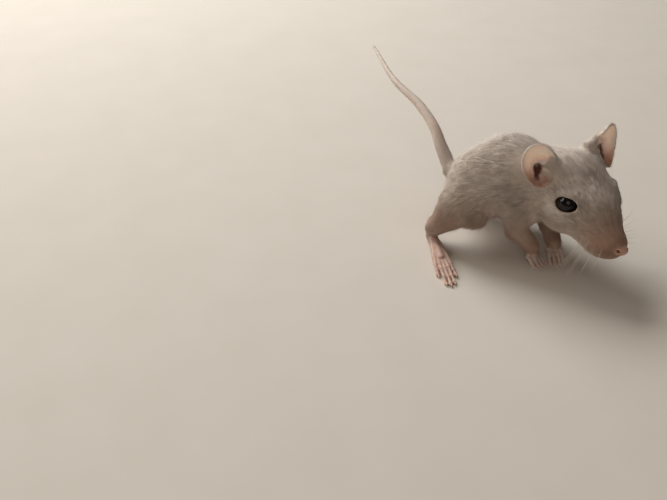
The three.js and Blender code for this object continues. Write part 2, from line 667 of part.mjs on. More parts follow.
function paw(start, palm, target, { spread, fan, lengths, radius, palmRadii }) {
  const forward = target.clone().sub(palm).setZ(0);
  const reach = forward.length();
  forward.normalize();
  const across = vec(-forward.y, forward.x, 0);
  const ball = palm.clone().addScaledVector(forward, reach * 0.12);
  const pieces = [taper([start, ball], palmRadii, { sides: 8, steps: 2, flat: 0.78 })];
  lengths.forEach((share, n) => {
    const offset = n - (lengths.length - 1) / 2;
    const base = palm.clone().addScaledVector(across, offset * spread);
    const tip = palm.clone().addScaledVector(forward, reach * share).addScaledVector(across, offset * fan).setZ(radius * 0.62);
    const knuckle = base.clone().lerp(tip, 0.45).setZ(Math.max(radius * 1.25, base.z * 0.66));
    pieces.push(digit(base, knuckle, tip, radius));
  });
  return joined(pieces);
}

const FOOT = {
  spread: 0.88, fan: 1.14, lengths: [0.66, 0.94, 1, 0.95, 0.6], radius: 0.64, palm: 0.47, palmRadii: [1.65, 1.5],
};
const HAND = {
  spread: 1.05, fan: 1.2, lengths: [0.84, 1, 0.98, 0.8], radius: 0.56, palm: 0.3, palmRadii: [1.6, 1.45], height: 2.3,
};

function addFoot(side) {
  const { ankle, toes } = LEGS[side];
  const heading = toes.clone().sub(ankle).setZ(0).normalize();
  const heel = ankle.clone().addScaledVector(heading, -0.5).setZ(1.7);
  const ball = ankle.clone().lerp(toes, FOOT.palm).setZ(1.15);
  const lengths = side === 'right' ? [...FOOT.lengths].reverse() : FOOT.lengths;
  const column = taper([ankle.clone().setZ(6), ankle.clone().setZ(4), heel], [2.0, 1.9, 1.9], { sides: 8, steps: 2, up: heading });
  const sole = paw(heel, ball, toes, { ...FOOT, lengths });
  const foot = split(floorCut(column.add(sole)), vec(0, 0, ANKLE_LEVEL), vec(0, 0, 1))[1];
  addPart(`hind_foot_${side}`, foot, SKIN);
}

function addHand(side) {
  const { elbow, wrist, fingers } = ARMS[side];
  const forearmAxis = wrist.clone().sub(elbow).normalize();
  const palm = wrist.clone().lerp(fingers, HAND.palm).setZ(HAND.height);
  const start = wrist.clone().addScaledVector(forearmAxis, -1.2);
  const lengths = side === 'right' ? [...HAND.lengths].reverse() : HAND.lengths;
  const hand = paw(start, palm, fingers, { ...HAND, lengths });
  addPart(`hand_${side}`, split(floorCut(hand), wrist, forearmAxis)[0], SKIN);
}

for (const side of ['right', 'left']) {
  addFoot(side);
  addHand(side);
}

// Tail in three lengths, raised and bending gently to the left

function addTail() {
  const curve = new THREE.CatmullRomCurve3(TAIL_PATH, false, 'centripetal');
  const whole = taper(TAIL_PATH, TAIL_RADII, { sides: 10, steps: 20 });
  let rest = whole.subtract(clearSkin);
  for (const [name, share] of [['tail_base', 0.32], ['tail_middle', 0.66]]) {
    const [beyond, piece] = split(rest, curve.getPointAt(share), curve.getTangentAt(share));
    addPart(name, piece, SKIN);
    rest = beyond;
  }
  addPart('tail_tip', rest, SKIN);
}
addTail();

// The origin is the middle of the footprint, on the floor.

const reach = new THREE.Box3().setFromObject(gerbil);
const middle = reach.getCenter(vec(0, 0, 0));
gerbil.position.set(-middle.x, -middle.y, -reach.min.z);

export default gerbil;
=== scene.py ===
# %% [markdown]
# # A gerbil pup, from bare skin to fur
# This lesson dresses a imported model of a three-week-old gerbil. The model gives the true outline in
# plain facets. Here the same named sizes make one smooth skin with lids, nostrils, ears and toes,
# and some two hundred thousand small tufts of fur then lie on it, as they do on the animal.

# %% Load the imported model
import json
import math

import bpy
import numpy as np
from mathutils import Matrix, Vector

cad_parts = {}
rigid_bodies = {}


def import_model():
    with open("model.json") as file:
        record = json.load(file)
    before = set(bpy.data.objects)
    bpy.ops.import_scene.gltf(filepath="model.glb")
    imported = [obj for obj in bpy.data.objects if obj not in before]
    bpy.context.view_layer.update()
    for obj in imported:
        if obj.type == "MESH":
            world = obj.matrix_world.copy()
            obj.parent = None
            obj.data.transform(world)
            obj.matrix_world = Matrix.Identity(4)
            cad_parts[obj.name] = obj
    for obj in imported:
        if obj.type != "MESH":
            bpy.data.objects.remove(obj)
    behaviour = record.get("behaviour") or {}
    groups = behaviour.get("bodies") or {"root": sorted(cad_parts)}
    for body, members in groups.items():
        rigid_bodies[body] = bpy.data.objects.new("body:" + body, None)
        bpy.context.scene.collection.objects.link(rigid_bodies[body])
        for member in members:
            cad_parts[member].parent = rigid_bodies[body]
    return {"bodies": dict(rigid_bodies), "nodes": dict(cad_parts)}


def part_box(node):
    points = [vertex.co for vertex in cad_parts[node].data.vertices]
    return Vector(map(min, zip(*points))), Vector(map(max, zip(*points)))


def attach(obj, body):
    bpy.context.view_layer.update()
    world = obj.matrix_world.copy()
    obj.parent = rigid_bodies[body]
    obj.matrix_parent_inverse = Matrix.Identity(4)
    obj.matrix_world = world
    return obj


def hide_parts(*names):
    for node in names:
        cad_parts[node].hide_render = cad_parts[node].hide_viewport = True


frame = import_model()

# A fresh file holds a cube, a lamp and a camera of its own, which have no place here.
for extra in set(bpy.data.objects) - set(frame["nodes"].values()) - set(frame["bodies"].values()):
    bpy.data.objects.remove(extra)
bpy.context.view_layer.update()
MM = 0.001
SEED = 20
rng = np.random.default_rng(SEED)

# %% [markdown]
# ## The sizes of the animal
# All lengths are in millimetres, in the animal's own frame: x points the way the chest faces, y to
# its left, z up. The head has a frame of its own, turned to the right and a little nose-down. The
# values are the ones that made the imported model, so that nothing has to be fitted afterwards.


# %% Named sizes
def at(x, y, z):
    return np.array([x, y, z], float)


def turn(yaw, pitch):
    """Axes as columns, turned by yaw about z and then nose-down by pitch, in degrees."""
    a, b = math.radians(yaw), math.radians(pitch)
    about_z = np.array([[math.cos(a), -math.sin(a), 0], [math.sin(a), math.cos(a), 0], [0, 0, 1]])
    about_y = np.array([[math.cos(b), 0, math.sin(b)], [0, 1, 0], [-math.sin(b), 0, math.cos(b)]])
    return about_z @ about_y


PELVIS = at(-6.8, -2.6, 16.6)
LOIN = at(-0.3, 0.2, 19.9)
CHEST = at(5.4, 2.2, 17.6)
TAIL_ROOT = at(-16.2, -2.4, 17.6)
HEAD_BACK = at(8.4, 5.6, 22.0)
HEAD_AXES = turn(-31, 12)
EYE = {"at": at(13.5, 5.95, 2.3), "radius": 2.95, "lid": 0.4, "slack": 0.06, "bulge": 0.1,
       "axis": at(0.34, 0.86, 0.36)}
EYE_OPENING = {"long": 3.1, "high": 1.8, "deep": 3.4, "out": 3.2, "tilt": 24}
NOSE = {"at": at(28.7, 0, -1.5), "size": at(1.3, 1.7, 1.2)}
EAR = {"width": 8.0, "height": 10.8, "depth": 2.7, "wall": 0.5, "hem": 0.13}
# The inner edge of each ear lies back, most of all low down, and a furred ridge runs up behind it.
EAR_BEND = {"back": 2.6, "from": 4.5, "to": -0.5}
EAR_RIDGE = {"low": at(4.4, -1.6, -3.3), "high": at(3.3, 1.5, -2.3), "radii": (1.6, 0.7)}
EAR_POSE = {
    "right": {"middle": at(4.8, -10.9, 8.5), "lean": at(-0.56, -0.02, 0.83), "facing": at(0.68, -0.59, 0.44)},
    "left": {"middle": at(4.9, 11.0, 8.8), "lean": at(-0.54, 0.32, 0.78), "facing": at(0.83, 0.38, 0.41)},
}
LEGS = {
    "right": {"hip": at(-8, -7, 14.5), "knee": at(-5.2, -9.4, 12), "ankle": at(-15.3, -12.2, 4.6),
              "toes": at(-2.6, -26.6, 0)},
    "left": {"hip": at(-8, 3.5, 14.5), "knee": at(1, 9, 9.5), "ankle": at(-13, 8, 4.6),
             "toes": at(4, 15.4, 0)},
}
ARMS = {
    "right": {"shoulder": at(5, -5, 15), "elbow": at(5.0, -4.9, 8.2), "wrist": at(10.2, -5.6, 4.6),
              "fingers": at(13.9, -6.9, 0)},
    "left": {"shoulder": at(9, 7, 14.5), "elbow": at(8, 7.5, 8), "wrist": at(14.3, 0.2, 4.0),
             "fingers": at(17.4, -3.6, 0)},
}
TAIL_PATH = [at(-16.2, -2.4, 17.6), at(-20.7, 0.3, 21.8), at(-24.5, 2.9, 25.5),
             at(-31.5, 7.0, 28.7), at(-42.5, 12.2, 31.3), at(-56.3, 24.1, 34)]
TAIL_RADII = [1.8, 1.55, 1.35, 1.15, 0.8, 0.3]
SIDES = {"right": -1, "left": 1}


def unit(way):
    return way / np.linalg.norm(way)


def in_head(x, y, z):
    return HEAD_BACK + HEAD_AXES @ at(x, y, z)


def head_way(x, y, z):
    return unit(HEAD_AXES @ at(x, y, z))


def from_head_back(points):
    """How far forward of the back of the skull each point is, along the head."""
    return (points - HEAD_BACK) @ HEAD_AXES[:, 0]


def ear_axes(side):
    """The middle of an ear's rim, and the ways across the ear, up to its tip and out of its cup."""
    pose = EAR_POSE[side]
    up = HEAD_AXES @ unit(pose["lean"])
    out = HEAD_AXES @ pose["facing"]
    out = unit(out - up * (out @ up))
    return in_head(*pose["middle"]), np.stack([np.cross(up, out), up, out], axis=1)


print("tail points:", len(TAIL_PATH), "ear in mm:", EAR["width"], "by", EAR["height"])

# %% [markdown]
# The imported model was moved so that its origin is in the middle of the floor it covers. The eyes are
# whole balls, so the middle of each eye's box tells how far it was moved.

# %% The way from the animal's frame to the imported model's
eye_nodes = []
for side, sign in SIDES.items():
    low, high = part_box(f"eye_{side}")
    eye_nodes.append(np.array((low + high) / 2) / MM - in_head(*(EYE["at"] * at(1, sign, 1))))
SHIFT = np.mean(eye_nodes, axis=0)
apart = np.abs(eye_nodes[0] - eye_nodes[1]).max()
print("shift in mm:", SHIFT.round(3), "the two eyes agree to", apart.round(4))

# %% [markdown]
# ## Flesh as melted masses
# A body could be sculpted by moving vertices, or lofted through rings. Here it is a handful of eggs
# and tapered rounds, one for each mass of muscle or bone that a hand would feel, melted together.
# Each is a field: a number at every point, negative inside. Melting two fields rounds the crease
# between them, which is what skin does over muscle.


# %% Fields
def dot_rows(a, b):
    return np.einsum("ij,ij->i", a, b)


def length_of(q):
    return np.sqrt(dot_rows(q, q))


def to_units(ways, least=1e-6):
    return ways / np.maximum(length_of(ways), least)[:, None]


def lay_flat(ways, normals):
    """Takes out of each way the part that stands up along its normal."""
    return ways - normals * dot_rows(ways, normals)[:, None]


def egg(centre, radii, axes=np.eye(3)):
    def field(points):
        q = (points - centre) @ axes
        near = length_of(q / radii)
        slope = length_of(q / radii ** 2)
        return near * (near - 1) / np.maximum(slope, 1e-9)
    return field


def cone(start, end, start_radius, end_radius):
    span = np.linalg.norm(end - start)
    axis = (end - start) / span
    lean = (start_radius - end_radius) / span
    flank = math.sqrt(1 - lean * lean)

    def field(points):
        q = points - start
        along = q @ axis
        out = np.sqrt(np.maximum(dot_rows(q, q) - along ** 2, 0))
        turned = along * flank - out * lean
        side = out * flank + along * lean - start_radius
        far = np.hypot(along - span, out) - end_radius
        near = np.hypot(along, out) - start_radius
        return np.where(turned < 0, near, np.where(turned > span * flank, far, side))
    return field


def melt(a, b, width):
    h = np.clip(0.5 + 0.5 * (b - a) / width, 0, 1)
    return b + (a - b) * h - width * h * (1 - h)


def carve(a, b, width):
    return -melt(-a, b, width)


def ramp(value, low, high):
    t = np.clip((value - low) / (high - low), 0, 1)
    return t * t * (3 - 2 * t)


# %% [markdown]
# Each mass also knows which way the coat lies on it: from the nose back over the head, from the neck
# to the tail, and down each limb to the foot. Further on this steers every tuft. Painting such
# directions by hand would take far longer, and they would have to be redone with every new pose.


# %% The masses of the trunk, the head and the limbs
def mass(field, width, lie, group, centre, reach):
    return {"field": field, "width": width, "lie": unit(lie), "group": group, "centre": centre,
            "reach": reach}


def egg_mass(centre, radii, axes, width, lie, group):
    return mass(egg(centre, radii, axes), width, lie, group, centre, radii.max())


def cone_mass(start, end, start_radius, end_radius, width, lie, group):
    reach = np.linalg.norm(end - start) / 2 + max(start_radius, end_radius)
    return mass(cone(start, end, start_radius, end_radius), width, lie, group, (start + end) / 2, reach)


def trunk_masses():
    throat = CHEST + at(2, 0.5, 0.2)
    rump = TAIL_ROOT + at(4, 0.5, -1.5)
    return [
        egg_mass(PELVIS, at(8.7, 8.6, 9.2), turn(20, -25), 3, at(-1, -0.1, -0.35), "rump"),
        egg_mass(LOIN, at(11.5, 10.8, 11.3), turn(12, 2), 5, at(-1, -0.1, -0.12), "back"),
        egg_mass(CHEST, at(9.4, 8.8, 9.3), turn(0, 4), 5, at(-1, -0.15, -0.25), "chest"),
        cone_mass(throat, in_head(2.5, 0, -1.2), 7.8, 7.4, 4, at(-1, -0.1, -0.2), "neck"),
        cone_mass(rump, rump + (TAIL_ROOT - rump) * 0.7, 4.2, 2.4, 2.5, at(-1, 0, 0.4), "rump"),
    ]


def limb_masses():
    masses = []
    for side, leg in LEGS.items():
        hip, knee, ankle = leg["hip"], leg["knee"], leg["ankle"]
        ham = hip + at(-2.6, 1.2 * SIDES[side], -2)
        shin = ankle + at(0.6, 0, 0.6)
        masses.append(cone_mass(hip, knee, 6.4, 4.3, 3, at(-1, 0, -0.7), f"thigh_{side}"))
        masses.append(cone_mass(ham, shin, 5.2, 2.0, 2, shin - ham, f"thigh_{side}"))
        masses.append(cone_mass(knee, ankle, 3.7, 1.9, 2, ankle - knee, f"shank_{side}"))
    for side, arm in ARMS.items():
        shoulder, elbow, wrist = arm["shoulder"], arm["elbow"], arm["wrist"]
        masses.append(cone_mass(shoulder, elbow, 4.6, 2.7, 3, at(-0.8, 0, -1), f"arm_{side}"))
        masses.append(cone_mass(elbow, wrist, 3.1, 2.0, 1.2, wrist - elbow, f"arm_{side}"))
    return masses


def head_masses():
    back = -HEAD_AXES[:, 0]
    masses = [
        egg_mass(in_head(7.5, 0, 0.5), at(10.2, 9.6, 9.3), HEAD_AXES, 3, back, "head"),
        egg_mass(in_head(14.5, 0, -0.8), at(9.0, 7.6, 7.3), HEAD_AXES, 3, back, "head"),
        cone_mass(in_head(16, 0, -0.6), in_head(25.6, 0, -2.2), 6.3, 3.4, 2.5, back, "face"),
        egg_mass(in_head(22.2, 0, -3.8), at(5.9, 5.3, 4.0), HEAD_AXES, 1.5, back, "face"),
        cone_mass(in_head(11, 0, -4.9), in_head(20.5, 0, -6.0), 4.8, 2.8, 2, back, "face"),
    ]
    for side, sign in SIDES.items():
        centre, axes = ear_axes(side)
        mirror = at(-sign, 1, 1)
        low, high = [centre + axes @ (EAR_RIDGE[end] * mirror) for end in ("low", "high")]
        masses.append(cone_mass(low, high, *EAR_RIDGE["radii"], 1, high - low, "head"))
        outward = head_way(-1, 0.25 * sign, -0.2)
        for place, radii, width, lie in (
            (at(4.6, 6.4, 4.4), at(3.8, 3.0, 3.4), 3, back),       # under the ear
            (at(11, 4.9, -3.2), at(6.4, 4.6, 5.0), 2, outward),    # cheek
            (at(14.2, 5.0, 2.0), at(4.4, 3.1, 3.3), 2, back),      # brow
        ):
            middle = in_head(*(place * at(1, sign, 1)))
            masses.append(egg_mass(middle, radii, HEAD_AXES, width, lie, "head"))
    return masses


BODY = trunk_masses() + limb_masses() + head_masses()
MELT_REACH = 5.5
print("masses:", len(BODY))

# %% [markdown]
# ## Ears, feet and tail as fields
# An ear is a thin bowl with a soft rim, a dark pit low down and a few folds in front of it. A foot
# is a long heel and five toes of two bones each. The tail is a row of tapered rounds along one
# smooth curve. They join the body's field, so skin runs on from the body to the last toe.


# %% The ears
def ear_reach(q):
    """How far out on the bowl a point is, 0 in the middle and 1 at the rim, and its share of up."""
    x, low = q[:, 0] / (EAR["width"] / 2), q[:, 1] / (EAR["height"] / 2) + 0.2
    wide = np.ones(len(q))
    for _ in range(2):
        flat = (x / wide) ** 2 + low ** 2
        reach = (-0.4 * low + np.sqrt(0.16 * low ** 2 + 3.84 * flat)) / 1.92
        up = (low - 0.2 * reach) / np.maximum(reach, 1e-6)
        wide = 1 + 0.14 * np.clip(up, -1, 1)
    return reach, up


def bowl_height(q, reach, up, sign):
    """How high the bowl's sheet lies. Its inner edge bends back low down, to meet the crown."""
    inner = np.minimum(reach, 1.1)
    bowl = EAR["depth"] * (1 - inner ** 2) * (1 - 0.25 * np.clip(up, -1, 1) * inner)
    inward = np.clip(-sign * q[:, 0] / (EAR["width"] / 2), 0, 1.2)
    bend = EAR_BEND["back"] * inward ** 2 * (1 - ramp(q[:, 1], EAR_BEND["to"], EAR_BEND["from"]))
    return 0.9 * inner * np.clip(-up, 0, 1) ** 2 - bowl - bend


def ear_field(side):
    centre, axes = ear_axes(side)
    sign = SIDES[side]
    inner_root = in_head(5.8, 5.5 * sign, 3)
    bowl_back = centre - axes[:, 1] * EAR["height"] * 0.18 - axes[:, 2] * EAR["depth"] * 0.9
    stalk = cone(inner_root, bowl_back, 2.6, 1.9)

    def place(x, y, z):
        return centre + axes @ at(-sign * x, y, z)
    # The swelling behind the cup, the ridges of gristle in it, and the canal with its grooves.
    boss = egg(place(0.1, -1.0, -3.3), at(2.6, 3.4, 2.0), axes)
    folds = [
        cone(place(0.9, -3.9, -1.3), place(0.1, -2.7, -1.9), 0.6, 0.35),
        cone(place(2.1, -1.9, -1.5), place(0.8, -1.5, -2.2), 0.35, 0.28),
        cone(place(-1.5, -2.9, -1.7), place(-1.7, -0.9, -2.1), 0.4, 0.25),
        cone(place(-0.9, 0.6, -2.3), place(1.5, 1.4, -1.9), 0.35, 0.25),
    ]
    pits = [
        egg(place(-0.35, -1.5, -2.9), at(1.0, 1.5, 1.5), axes),
        egg(place(-0.85, -3.2, -2.2), at(0.5, 1.2, 1.0), axes),
        cone(place(0.3, -0.5, -2.5), place(1.4, -0.9, -2.2), 0.3, 0.16),
        cone(place(0.0, -2.1, -2.5), place(1.5, -2.8, -1.8), 0.36, 0.2),
    ]

    def field(points):
        q = (points - centre) @ axes
        reach, up = ear_reach(q)
        sheet = bowl_height(q, reach, up, sign) - EAR["wall"] / 2
        slope = 1
        for step in np.eye(3)[:2] * 0.1:
            beside = bowl_height(q + step, *ear_reach(q + step), sign) - EAR["wall"] / 2
            slope = slope + ((beside - sheet) / 0.1) ** 2
        slope = np.sqrt(slope)
        hem = EAR["hem"] * np.exp(-((reach - 0.95) / 0.09) ** 2)
        leaf = np.abs(q[:, 2] - sheet) / slope - EAR["wall"] / 2 - hem
        edge = (reach - 1) * EAR["height"] * 0.42
        total = carve(leaf, -edge, 0.3)
        root = melt(stalk(points), boss(points), 1.0)
        total = melt(total, np.maximum(root, q[:, 2] - sheet - 0.1), 0.8)
        for fold in folds:
            total = melt(total, fold(points), 0.5)
        for pit in pits:
            total = carve(total, pit(points), 0.35)
        return total
    return {"field": field, "centre": centre, "axes": axes, "reach": 8.5, "width": 0.9, "pits": pits}


# %% [markdown]
# Toes are fanned about the line of the foot. Each has a knuckle that stands up and a soft pad that
# rests on the floor, with the claw starting above the pad.

# %% The feet and hands
FOOT = {"spread": 0.88, "fan": 1.14, "lengths": [0.66, 0.94, 1, 0.95, 0.6], "radius": 0.52,
        "palm": 0.47, "heel": 1.55, "height": 1.15}
HAND = {"spread": 1.05, "fan": 1.2, "lengths": [0.84, 1, 0.98, 0.8], "radius": 0.46, "palm": 0.3,
        "height": 2.2}


def paw_bones(ball, target, paw, mirrored):
    forward = unit((target - ball) * at(1, 1, 0))
    reach = np.linalg.norm((target - ball)[:2])
    across = at(-forward[1], forward[0], 0)
    lengths = paw["lengths"][::-1] if mirrored else paw["lengths"]
    digits = []
    for n, share in enumerate(lengths):
        offset = n - (len(lengths) - 1) / 2
        base = ball + across * offset * paw["spread"] - forward * 0.4
        tip = ball + forward * reach * share + across * offset * paw["fan"]
        tip[2] = paw["radius"] * 0.78
        knuckle = base + (tip - base) * 0.42
        knuckle[2] = max(paw["radius"] * 1.75, base[2] * 0.72)
        joint = base + (tip - base) * 0.74
        joint[2] = max(paw["radius"] * 1.25, base[2] * 0.42)
        digits.append({"base": base, "knuckle": knuckle, "joint": joint, "tip": tip, "forward": forward})
    return digits


def digit_fields(digit, radius):
    return [
        cone(digit["base"], digit["knuckle"], radius * 1.05, radius * 0.95),
        cone(digit["knuckle"], digit["joint"], radius * 0.95, radius * 0.82),
        cone(digit["joint"], digit["tip"], radius * 0.82, radius * 0.74),
        egg(digit["tip"] - digit["forward"] * 0.25 + at(0, 0, -0.05), at(0.95, 0.95, 0.85) * radius),
    ]


def hind_foot(side):
    ankle, toes = LEGS[side]["ankle"], LEGS[side]["toes"]
    heading = unit((toes - ankle) * at(1, 1, 0))
    heel = ankle - heading * 0.5
    heel[2] = FOOT["heel"]
    ball = ankle + (toes - ankle) * FOOT["palm"]
    ball[2] = FOOT["height"]
    top = ankle * at(1, 1, 0) + at(0, 0, 6)
    digits = paw_bones(ball, toes, FOOT, side == "right")
    fields = [cone(top, heel, 1.8, 1.6), cone(heel, ball, 1.4, 1.05)]
    for digit in digits:
        fields.append(cone(heel + (digit["base"] - heel) * 0.35 + at(0, 0, 0.3), digit["base"], 0.75, 0.56))
        fields += digit_fields(digit, FOOT["radius"])
    middle = (heel + toes) / 2
    return {"fields": fields, "digits": digits, "radius": FOOT["radius"], "centre": middle, "reach": 13,
            "start": ankle, "lie": unit(toes - ankle)}


def hand(side):
    elbow, wrist, fingers = ARMS[side]["elbow"], ARMS[side]["wrist"], ARMS[side]["fingers"]
    forearm = unit(wrist - elbow)
    palm = wrist + (fingers - wrist) * HAND["palm"]
    palm[2] = HAND["height"]
    digits = paw_bones(palm, fingers, HAND, side == "right")
    fields = [cone(wrist - forearm * 1.6, wrist, 1.5, 1.25), cone(wrist, palm, 1.25, 1.15)]
    for digit in digits:
        fields.append(cone(wrist + (digit["base"] - wrist) * 0.4, digit["base"], 0.75, 0.55))
        fields += digit_fields(digit, HAND["radius"])
    return {"fields": fields, "digits": digits, "radius": HAND["radius"], "centre": (wrist + fingers) / 2,
            "reach": 6, "start": wrist, "lie": unit(fingers - wrist)}


PAWS = {f"hind_foot_{side}": hind_foot(side) for side in SIDES}
PAWS |= {f"hand_{side}": hand(side) for side in SIDES}
print("toes and fingers:", sum(len(paw["digits"]) for paw in PAWS.values()))


# %% [markdown]
# The tail is bone with skin close over it, so it thins evenly. A bevelled curve would give the shape,
# but not one skin with the rump. So it is a row of tapered rounds on a smooth curve, and every point
# knows how far along the tail it lies, which later places the rings of skin and the longer hairs.


# %% The tail
def between(a, b, low, high, t):
    return a + (b - a) * (t - low) / (high - low)


def smooth_path(points, steps):
    """A smooth curve through the points, which never loops back where they lie close together."""
    ends = [2 * points[0] - points[1], *points, 2 * points[-1] - points[-2]]
    gaps = [math.sqrt(np.linalg.norm(b - a)) for a, b in zip(ends, ends[1:])]
    knots = np.cumsum([0, *gaps])
    made = []
    for n in range(len(points) - 1):
        p, k = ends[n:n + 4], knots[n:n + 4]
        for t in np.linspace(k[1], k[2], steps, endpoint=False):
            first = [between(p[i], p[i + 1], k[i], k[i + 1], t) for i in range(3)]
            second = [between(first[i], first[i + 1], k[i], k[i + 2], t) for i in range(2)]
            made.append(between(second[0], second[1], k[1], k[2], t))
    made.append(points[-1])
    return np.array(made)


TAIL_LINE = smooth_path(TAIL_PATH, 6)
TAIL_STEPS = np.linspace(0, len(TAIL_RADII) - 1, len(TAIL_LINE))
TAIL_WIDTHS = np.interp(TAIL_STEPS, np.arange(len(TAIL_RADII)), TAIL_RADII)
tail_length = np.linalg.norm(np.diff(TAIL_LINE, axis=0), axis=1).sum()


def tail_place(points):
    """The nearest place on the tail's line: distance from it, share of its length, and direction."""
    best = np.full(len(points), 1e9)
    share = np.zeros(len(points))
    radius = np.zeros(len(points))
    way = np.zeros((len(points), 3))
    for n, (a, b) in enumerate(zip(TAIL_LINE, TAIL_LINE[1:])):
        along = np.clip((points - a) @ (b - a) / ((b - a) @ (b - a)), 0, 1)
        gap = length_of(points - a - along[:, None] * (b - a))
        closer = gap < best
        best = np.where(closer, gap, best)
        share = np.where(closer, (n + along) / (len(TAIL_LINE) - 1), share)
        radius = np.where(closer, TAIL_WIDTHS[n] + (TAIL_WIDTHS[n + 1] - TAIL_WIDTHS[n]) * along, radius)
        way[closer] = unit(b - a)
    return best - radius, share, way


TAIL = {"field": lambda points: tail_place(points)[0], "centre": TAIL_LINE.mean(axis=0), "reach": 32,
        "width": 1.2}
EARS = {side: ear_field(side) for side in SIDES}
print("tail length in mm:", round(tail_length, 1))

# %% [markdown]
# ## The whole skin as one field
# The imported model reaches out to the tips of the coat, so the skin lies deeper by the coat's depth:
# about a millimetre on the back, a hair's breadth at the eyes, the nose and the paws. Lids, sockets,
# nostrils and the line of the mouth are carved last, because nothing may melt over them.

# %% The coat's depth, and the skin under it
COAT_DEPTH = 1.0
FAR = 30.0
EYEBALLS = {side: in_head(*(EYE["at"] * at(1, sign, 1))) for side, sign in SIDES.items()}
EYE_WAYS = {side: unit(HEAD_AXES @ (EYE["axis"] * at(1, sign, 1))) for side, sign in SIDES.items()}


def coat_depth(points):
    """How thick the lying coat is at each point, in millimetres."""
    depth = np.interp(from_head_back(points), [2, 10, 18, 25, 30], [COAT_DEPTH, 0.75, 0.5, 0.28, 0.1])
    for paw in PAWS.values():
        depth = np.minimum(depth, 0.1 + 0.075 * np.maximum(length_of(points - paw["start"]) - 1, 0))
    for eyeball in EYEBALLS.values():
        depth = np.minimum(depth, 0.1 + 0.2 * np.maximum(length_of(points - eyeball) - 3.2, 0))
    for ear in EARS.values():
        depth = np.minimum(depth, 0.2 + 0.12 * np.maximum(length_of(points - ear["centre"]) - 4.5, 0))
    return np.minimum(depth, 0.15 + 0.12 * length_of(points - TAIL_ROOT))


def nearby(points, piece, margin=MELT_REACH):
    q = points - piece["centre"]
    return dot_rows(q, q) < (piece["reach"] + margin) ** 2


def temple_hollows():
    hollows = []
    radii = at(4.0, 5.4, 3.4)
    for ear in EARS.values():
        middle = ear["centre"] + ear["axes"][:, 2] * 1.6
        hollows.append({"field": egg(middle, radii, ear["axes"]), "centre": middle, "reach": radii.max()})
    return hollows


HOLLOWS = temple_hollows()


def body_field(points):
    total = np.full(len(points), FAR)
    for piece in BODY:
        near = nearby(points, piece)
        total[near] = melt(total[near], piece["field"](points[near]), piece["width"])
    for side, eyeball in EYEBALLS.items():
        lid = egg(eyeball, np.full(3, EYE["radius"] + EYE["lid"]))
        near = length_of(points - eyeball) < 8
        total[near] = melt(total[near], lid(points[near]), 0.8)
    for hollow in HOLLOWS:
        near = nearby(points, hollow)
        total[near] = carve(total[near], hollow["field"](points[near]), 1.2)
    return total


def paw_field(points, paw):
    total = np.full(len(points), FAR)
    for field in paw["fields"]:
        total = melt(total, field(points), 0.35)
    return total


# %% [markdown]
# The face is carved with a few small tools: an almond for each eye's opening, two commas for the
# nostrils, a groove under the nose and one along the lips. The line of the mouth follows the flesh,
# so its points are pulled onto the field first.


# %% Pulling a point onto a field
def slopes(field, points, step=0.02):
    around = [field(points + step * way) - field(points - step * way) for way in np.eye(3)]
    return np.stack(around, axis=1) / (2 * step)


def pull(field, points, level=0.0, rounds=6):
    points = np.array(points, float)
    for _ in range(rounds):
        slope = slopes(field, points)
        size = np.maximum(dot_rows(slope, slope), 0.05)
        points -= ((field(points) - level) / size)[:, None] * slope
    return points


def furred_field(points):
    return body_field(points) + coat_depth(points)


half_mouth = [(16.8, 5.2, -6.2), (19.4, 4.5, -7.4), (22.2, 2.9, -8.0)]
mouth = [in_head(x, -y, z) for x, y, z in half_mouth] + [in_head(24.3, 0, -8.1)]
mouth += [in_head(x, y, z) for x, y, z in reversed(half_mouth)]
MOUTH_LINE = smooth_path(list(pull(furred_field, mouth)), 4)
cleft = pull(furred_field, [in_head(28.6, 0, -3.2), in_head(27.6, 0, -5.2), in_head(25.6, 0, -7.4)])


def eye_opening(side):
    """An egg that points out of the head, with its long way from the ear to the nose."""
    out = EYE_WAYS[side]
    tilt = math.radians(EYE_OPENING["tilt"])
    long_way = head_way(math.cos(tilt), 0, math.sin(tilt))
    long_way = unit(long_way - out * (long_way @ out))
    high_way = unit(HEAD_AXES[:, 2] - out * (HEAD_AXES[:, 2] @ out))
    high_way = unit(high_way - long_way * (high_way @ long_way))
    axes = np.stack([long_way, high_way, out], axis=1)
    radii = at(EYE_OPENING["long"], EYE_OPENING["high"], EYE_OPENING["deep"])
    return egg(EYEBALLS[side] + out * EYE_OPENING["out"], radii, axes)


def face_tools():
    """Each tool: its field, how softly it cuts, its middle and its reach."""
    tools = []
    for side, sign in SIDES.items():
        eyeball = EYEBALLS[side]
        tools.append((egg(eyeball, np.full(3, EYE["radius"] + 0.03)), 0.05, eyeball, 3.2))
        tools.append((eye_opening(side), 0.28, eyeball + EYE_WAYS[side] * 2.5, 4))
        inner = in_head(28.5, 0.7 * sign, -1.9)
        outer = in_head(28.9, 1.35 * sign, -1.25)
        wing = in_head(28.0, 2.1 * sign, -1.2)
        tools.append((cone(inner, outer, 0.3, 0.36), 0.15, outer, 2.5))
        tools.append((cone(outer, wing, 0.3, 0.16), 0.15, outer, 2.5))
    for a, b in zip(MOUTH_LINE, MOUTH_LINE[1:]):
        tools.append((cone(a, b, 0.2, 0.2), 0.25, (a + b) / 2, 2.5))
    for a, b in zip(cleft, cleft[1:]):
        tools.append((cone(a, b, 0.16, 0.12), 0.2, (a + b) / 2, 2.5))
    return tools


FACE_TOOLS = face_tools()
nose_field = egg(in_head(*NOSE["at"]), NOSE["size"], HEAD_AXES)
print("face tools:", len(FACE_TOOLS))


# %% [markdown]
# The order matters here. Ears, tail and paws are melted onto the flesh, then the face is carved, and
# last of all everything is cut off level with the floor, so that the pads stand flat.


